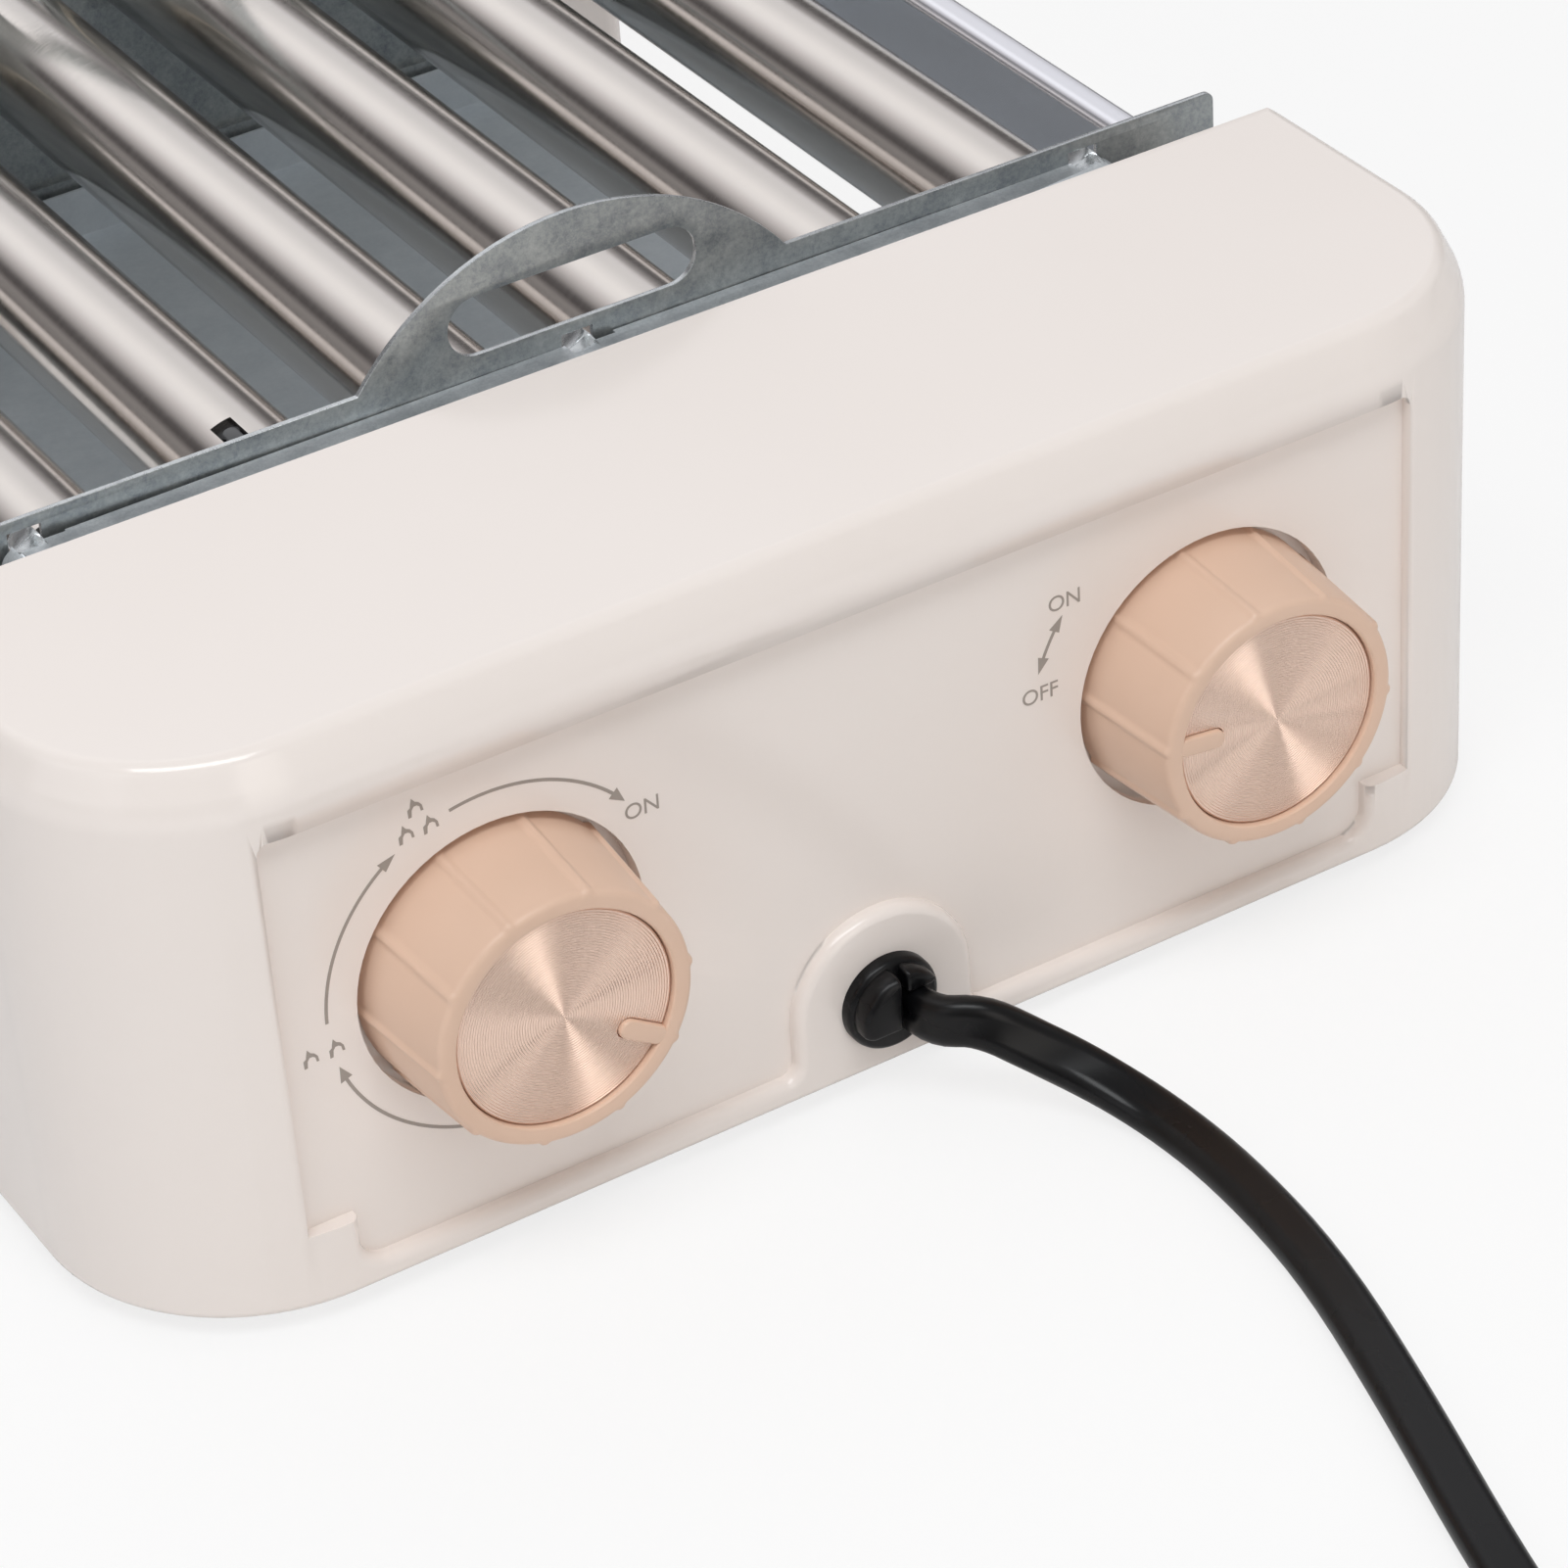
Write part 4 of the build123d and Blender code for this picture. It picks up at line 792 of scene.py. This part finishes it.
def shadeEvenly(piece):
    # marks the crease where the panel runs out into the round corner, and weighs the normals by
    # the faces' areas, except at the panel's lower corners, where that leaves a dark smear
    corner = shell["panelCorner"]

    def onPanel(co):
        return abs(outOf(co) - marks["face"]) < near and abs(co.x) * 1000 > corner["beyond"]

    bpy.ops.object.mode_set(mode="EDIT")
    selectWhere(piece, "EDGE", lambda a, b: onPanel(a) and onPanel(b)
                and abs(a.x - b.x) * 1000 < shell["upright"])
    bpy.ops.mesh.mark_sharp()
    bpy.ops.object.mode_set(mode="OBJECT")
    even = piece.vertex_groups.new(name="even")
    even.add([v.index for v in piece.data.vertices if abs(v.co.x) * 1000 < corner["beyond"]
              or outOf(v.co) < corner["out"]
              or not corner["low"] < v.co.z * 1000 < corner["high"]], 1, "REPLACE")
    addModifier(piece, "WEIGHTED_NORMAL", keep_sharp=True, vertex_group="even")
    piece.vertex_groups.clear()


def makeHousings():
    top = (grill["axis"] + shell["top"]) / 1000
    band = (grill["axis"] + shell["bandRise"]) / 1000

    def onBand(co):  # on the outer skin's edge at the top of the band
        return abs(co.z - band) < near / 1000 and shellDepth(co) < shell["skin"]

    for end in ("front", "rear"):
        piece = openCopy(f"{end}_housing")
        mouth = min(outOf(v.co) for v in piece.data.vertices)  # the open end, which stays sharp
        found = selectWhere(piece, "EDGE", lambda a, b: min(a.z, b.z) > top - near / 1000
                            and max(outOf(a), outOf(b)) > mouth + 2 * near)
        bevelEdges(*shell["crown"])
        found += selectWhere(piece, "EDGE", lambda a, b: onBand(a) and onBand(b))
        bevelEdges(*shell["shoulder"])
        if end == "front":
            deepenWells(piece)
        bpy.ops.object.mode_set(mode="OBJECT")
        settle(piece, f"{end}_shell", "frame", finishes["creamAbs"],
               (f"{end}_housing",), 28)
        shadeEvenly(piece)
        print(end, "housing softened on", found, "edges")


makeHousings()


# sheet metal: end plates, and the covers at their foot with torn and twisted tabs
sheet = {
    "edge": (0.14, 2), "seam": {-1: 0.75, 1: 0.35},  # the seam's width on the left and on the right
    "tabs": (-92.4, 0.0, 92.4), "tabHalf": 2.7, "tabOut": 2.4, "tabRise": 8.5, "faceOn": 0.8,
}


def breakEdges(size, steps):  # rounds the sharp edges of the piece that is in edit mode
    bpy.ops.mesh.select_mode(type="EDGE")
    bpy.ops.mesh.select_all(action="DESELECT")
    bpy.ops.mesh.edges_select_sharp(sharpness=math.radians(50))
    bevelEdges(size, steps)
    bpy.ops.object.mode_set(mode="OBJECT")


def nearTab(x):  # whether a place is within the width of one of the tabs
    return min(abs(x * 1000 - tab) for tab in sheet["tabs"]) < sheet["tabHalf"]


def addBright(piece, test):  # bare steel on the faces that the test picks
    piece.data.materials.append(finishes["bareSteel"])
    selectOnly(piece)
    bpy.ops.object.mode_set(mode="EDIT")
    selectWhere(piece, "FACE", test)
    piece.active_material_index = 1
    bpy.ops.object.material_slot_assign()
    bpy.ops.object.mode_set(mode="OBJECT")


def makeSheets():
    for end in ("front", "rear"):
        plate = openCopy(f"{end}_end_plate")
        breakEdges(*sheet["edge"])
        settle(plate, f"{end}_plate_sheet", "frame", finishes["zincSheet"],
               (f"{end}_end_plate",), 30)
        # the punched edges: bare steel, whose paler colour also paints the highlight line along the
        # plate's edges
        addBright(plate, lambda co, normal: abs(normal.y) < sheet["faceOn"])  # the punched edges
        node = "front_gear_shroud" if end == "front" else "rear_shroud"
        cover = openCopy(node)
        way = -1 if end == "front" else 1
        for side, gap in sheet["seam"].items():  # the cover stands off the plate by this black seam
            selectWhere(cover, "VERT", lambda co: abs(outOf(co)) < near and co.x * side > 0
                        and not nearTab(co.x))
            bpy.ops.transform.translate(value=(0, way * gap / 1000, 0))
        bpy.ops.object.mode_set(mode="OBJECT")
        # the covers take the paler zinc, which paints the light on their upward ledge
        settle(cover, f"{end}_cover_sheet", "frame", finishes["coverSheetPaintedLight"], (node,), 30)
        addBright(cover, lambda co, normal: nearTab(co.x) and outOf(co) < sheet["tabOut"]
                  and co.z * 1000 > grill["axis"] + sheet["tabRise"])
    print("sheet metal ready")


makeSheets()


# side rails: folded channels, whose three upper folds are rounded
rail = {"outer": 117.7, "crest": 113.5, "inner": 112.3, "top": 2.0, "shoulder": 1.4, "fold": (0.9, 4)}


def makeRails():
    high = grill["axis"] + rail["top"]
    folds = [(rail["outer"], rail["outer"], high),  # from, to and the lowest place of the edges
             (rail["inner"], rail["crest"], high - rail["shoulder"])]
    for name in ("left", "right"):
        piece = openCopy(f"{name}_side_rail")
        for inside, outside, low in folds:
            selectWhere(piece, "EDGE", lambda a, b: abs(a.y - b.y) * 1000 > grill["span"] / 2
                        and inside - near < abs(a.x) * 1000 < outside + near
                        and a.z * 1000 > low - near)
            bevelEdges(*rail["fold"])
        bpy.ops.object.mode_set(mode="OBJECT")
        settle(piece, f"{name}_rail_sheet", "frame", finishes["stainlessRail"],
               (f"{name}_side_rail",), 40)
    print("side rails ready")


makeRails()


# strain relief bushing: a round flange and the two rounded blocks that grip the lead
bushing = {
    "rise": -64.0, "radius": 7.2, "foot": 80.5, "edge": (0.6, 3), "core": 0.5, "sides": 32,
    "flange": [(6.3, 71.3), (6.3, 79.3), (7.9, 79.3), (7.9, 80.6), (7.75, 81.1), (7.4, 81.5),
               (6.9, 81.7), (0.5, 81.7)],
    "round": [(0, 1.2), (0.35, 0.45), (1.1, 0)],  # how far inside the radius and below the top
    # left, right, low, high and out; the cutter that trims a block to them is 20 mm tall
    "blocks": [(-8.0, -0.7, -2.1, 8.0, 85.3), (0.7, 8.0, 3.4, 8.0, 84.5)], "cut": 20.0,
}


def makeBushing():
    radius = bushing["radius"]
    parts = [lathe(bushing["flange"])]
    for left, right, low, high, out in bushing["blocks"]:
        rounded = [(radius - inside, out - below) for inside, below in bushing["round"]]
        block = lathe([(radius, bushing["foot"]), *rounded, (bushing["core"], out)], bushing["sides"])
        bpy.ops.object.select_all(action="DESELECT")
        middle = metres((left + right) / 2, (low + high) / 2, out)
        bpy.ops.mesh.primitive_cube_add(size=1, location=middle,
                                        scale=metres(right - left, high - low, bushing["cut"]))
        cutter = bpy.context.object
        addModifier(block, "BOOLEAN", operation="INTERSECT", solver="EXACT", object=cutter)
        bpy.data.objects.remove(cutter)
        bpy.ops.object.mode_set(mode="EDIT")
        bpy.ops.mesh.select_all(action="SELECT")
        bpy.ops.mesh.dissolve_limited(angle_limit=math.radians(1))
        breakEdges(*bushing["edge"])
        parts.append(block)
    piece = joinUp(parts)
    piece.matrix_world = facing(0, bushing["rise"])
    settle(piece, "cord_bushing", "frame", finishes["blackNylon"], ("cord_gland",), 40)
    print("bushing ready")


makeBushing()


# the tray and the plug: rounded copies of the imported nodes, the plug with finger grooves
small = {"tray": (0.25, 2), "plug": (1.2, 4), "grips": [17.5, 21.0, 24.5, 28.0],
         "grip": {"width": 1.4, "length": 17.0, "depth": 0.8}, "gripEdge": (0.3, 2)}


def gripCutter():  # bars that cut the finger grooves into both flat sides of the plug
    grip = small["grip"]
    bar = metres(grip["width"], grip["length"], 2 * grip["depth"])
    bars = []
    for along in small["grips"]:
        for face in (-1, 1):
            bpy.ops.object.select_all(action="DESELECT")
            bpy.ops.mesh.primitive_cube_add(size=1, scale=bar,
                                            location=metres(along, 0, face * lead["plugAxis"]))
            bpy.ops.object.transform_apply(location=True, rotation=True, scale=True)
            bars.append(bpy.context.object)
    cutter = joinUp(bars)
    turns, heading = coilPoints()
    side = Vector((-heading.y, heading.x, 0))
    turned = Matrix((heading, side, Vector((0, 0, 1)))).transposed().to_4x4()
    place = metres(turns[-1].x, turns[-1].y, lead["plugAxis"])
    cutter.matrix_world = Matrix.Translation(place) @ turned
    return cutter


def makeSmallPieces():
    tray = openCopy("drip_tray")
    breakEdges(*small["tray"])
    settle(tray, "tray_pressing", "tray", finishes["traySheet"], ("drip_tray",), 30)
    plug = openCopy("mains_plug")
    breakEdges(*small["plug"])
    cutter = gripCutter()
    addModifier(plug, "BOOLEAN", operation="DIFFERENCE", solver="EXACT", object=cutter)
    bpy.data.objects.remove(cutter)
    selectOnly(plug)
    bpy.ops.object.mode_set(mode="EDIT")
    breakEdges(*small["gripEdge"])
    settle(plug, "plug_moulding", "frame", finishes["pvc"], ("mains_plug",), 35)


makeSmallPieces()


# floor, backdrop colour and soft studio light
studio = {
    "floor": "#F4F4F4", "size": 6.0, "glow": 0.78, "frontStrength": 0.445, "backStrength": 1.14,
    "behind": (0.25, 0.5),
    # by height, from the horizon to straight up
    "front": [(0.0, "#A8A6A4"), (0.1, "#A8A6A4"), (0.2, "#A39A92"), (0.24, "#4E4A48"),
              (0.28, "#FBF6F2"), (1.0, "#F8F8F8")],
    # degrees from straight up towards the right, seen from the front
    "arch": [(-120, "#5A5654"), (-104, "#8C847F"), (-92, "#A69C96"), (-78, "#7E7C7C"), (-66, "#8F8C8C"),
             (-56, "#4E4B4C"), (-46, "#5C5A5B"), (-36, "#A3A1A2"), (-20, "#DAD8DA"), (-6, "#F8F8FA"),
             (8, "#FEFEFF"), (20, "#F2F2F4"), (34, "#E4E4E6"), (52, "#E2E2E5"), (60, "#A3A1A2"),
             (76, "#5C5A5B"), (110, "#6A6866")],
}


def fillRamp(ramp, stops):
    while len(ramp.color_ramp.elements) < len(stops):
        ramp.color_ramp.elements.new(0.5)
    for element, (where, code) in zip(ramp.color_ramp.elements, stops):
        element.position = where
        element.color = colour(code)
    return ramp


def makeStage():
    bpy.ops.mesh.primitive_plane_add(size=studio["size"], location=(0, 0, 0))
    floor = bpy.context.object
    floor.name = "floor"
    material, surface = newMaterial("floor", {"Base Color": colour(studio["floor"]), "Roughness": 0.8})
    tree = material.node_tree
    glow = addNode(material, "ShaderNodeEmission", {"Color": (1, 1, 1, 1), "Strength": 1.0})
    path = addNode(material, "ShaderNodeLightPath")
    seen = addNode(material, "ShaderNodeMath", {"operation": "MULTIPLY", 1: studio["glow"]},
                   {0: path.outputs["Is Camera Ray"]})  # the camera sees it burnt out, nearly white
    mix = addNode(material, "ShaderNodeMixShader", None,
                  {0: seen.outputs["Value"], 1: surface.outputs["BSDF"], 2: glow.outputs["Emission"]})
    tree.links.new(mix.outputs["Shader"], tree.nodes["Material Output"].inputs["Surface"])
    floor.data.materials.append(material)


def makeWorld():
    # a soft room: bright above and dimmer along the horizon; behind the grill a broad light hangs
    # overhead like an arch, which is what the rollers mirror towards the user
    world = bpy.data.worlds.new("studio")
    world.use_nodes = True
    scene.world = world
    world.node_tree.nodes.clear()
    place = addNode(world, "ShaderNodeTexCoord")
    split = addNode(world, "ShaderNodeSeparateXYZ", None, {0: place.outputs["Generated"]})
    around = addNode(world, "ShaderNodeMath", {"operation": "ARCTAN2"},
                     {0: split.outputs["X"], 1: split.outputs["Z"]})
    share = addNode(world, "ShaderNodeMapRange", {"From Min": -math.pi, "From Max": math.pi},
                    {"Value": around.outputs["Value"]})
    front = fillRamp(addNode(world, "ShaderNodeValToRGB", None, {"Fac": split.outputs["Z"]}),
                     studio["front"])
    arch = fillRamp(addNode(world, "ShaderNodeValToRGB", None, {"Fac": share.outputs["Result"]}),
                    [((turn + 180) / 360, code) for turn, code in studio["arch"]])
    begins, full = studio["behind"]
    behind = addNode(world, "ShaderNodeMapRange",
                     {"interpolation_type": "SMOOTHSTEP", "From Min": begins, "From Max": full},
                     {"Value": split.outputs["Y"]})
    fore = addNode(world, "ShaderNodeBackground", {"Strength": studio["frontStrength"]},
                   {"Color": front.outputs["Color"]})
    back = addNode(world, "ShaderNodeBackground", {"Strength": studio["backStrength"]},
                   {"Color": arch.outputs["Color"]})
    room = addNode(world, "ShaderNodeMixShader", None,
                   {0: behind.outputs["Result"], 1: fore.outputs[0], 2: back.outputs[0]})
    white = addNode(world, "ShaderNodeBackground", {"Color": (1, 1, 1, 1), "Strength": 1.0})
    path = addNode(world, "ShaderNodeLightPath")
    mix = addNode(world, "ShaderNodeMixShader", None,
                  {0: path.outputs["Is Camera Ray"], 1: room.outputs[0], 2: white.outputs[0]})
    addNode(world, "ShaderNodeOutputWorld", None, {"Surface": mix.outputs["Shader"]})


lamps = [  # name, place, aim, size, watts, tint
    ("key", (-0.33, -0.7, 1.44), (0, -0.12, 0.05), (1.15, 0.5), 10.2, "#FAFDFF"),
    ("leftFill", (-1.75, -0.4, 0.8), (0, -0.12, 0.05), (1.5, 1.3), 3.6, "#F8FBFF"),
    ("rightFill", (1.75, -0.3, 0.7), (0, -0.12, 0.05), (1.5, 1.3), 2.0, "#F8FBFF"),
    ("strip", (0.06, -1.31, 0.43), (0, -0.18, 0.05), (0.46, 0.8), 1.7, "#FFFAF4"),
]


def makeLamps():
    for name, place, aim, (wide, tall), watts, tint in lamps:
        data = bpy.data.lights.new(name, "AREA")
        data.color = colour(tint)[:3]
        data.shape = "RECTANGLE"
        data.size, data.size_y = wide, tall
        data.energy = watts
        lamp = bpy.data.objects.new(name, data)
        lamp.location = place
        lamp.rotation_euler = (Vector(aim) - Vector(place)).to_track_quat("-Z", "Y").to_euler()
        scene.collection.objects.link(lamp)


makeStage()
makeWorld()
makeLamps()
print("stage and light ready")
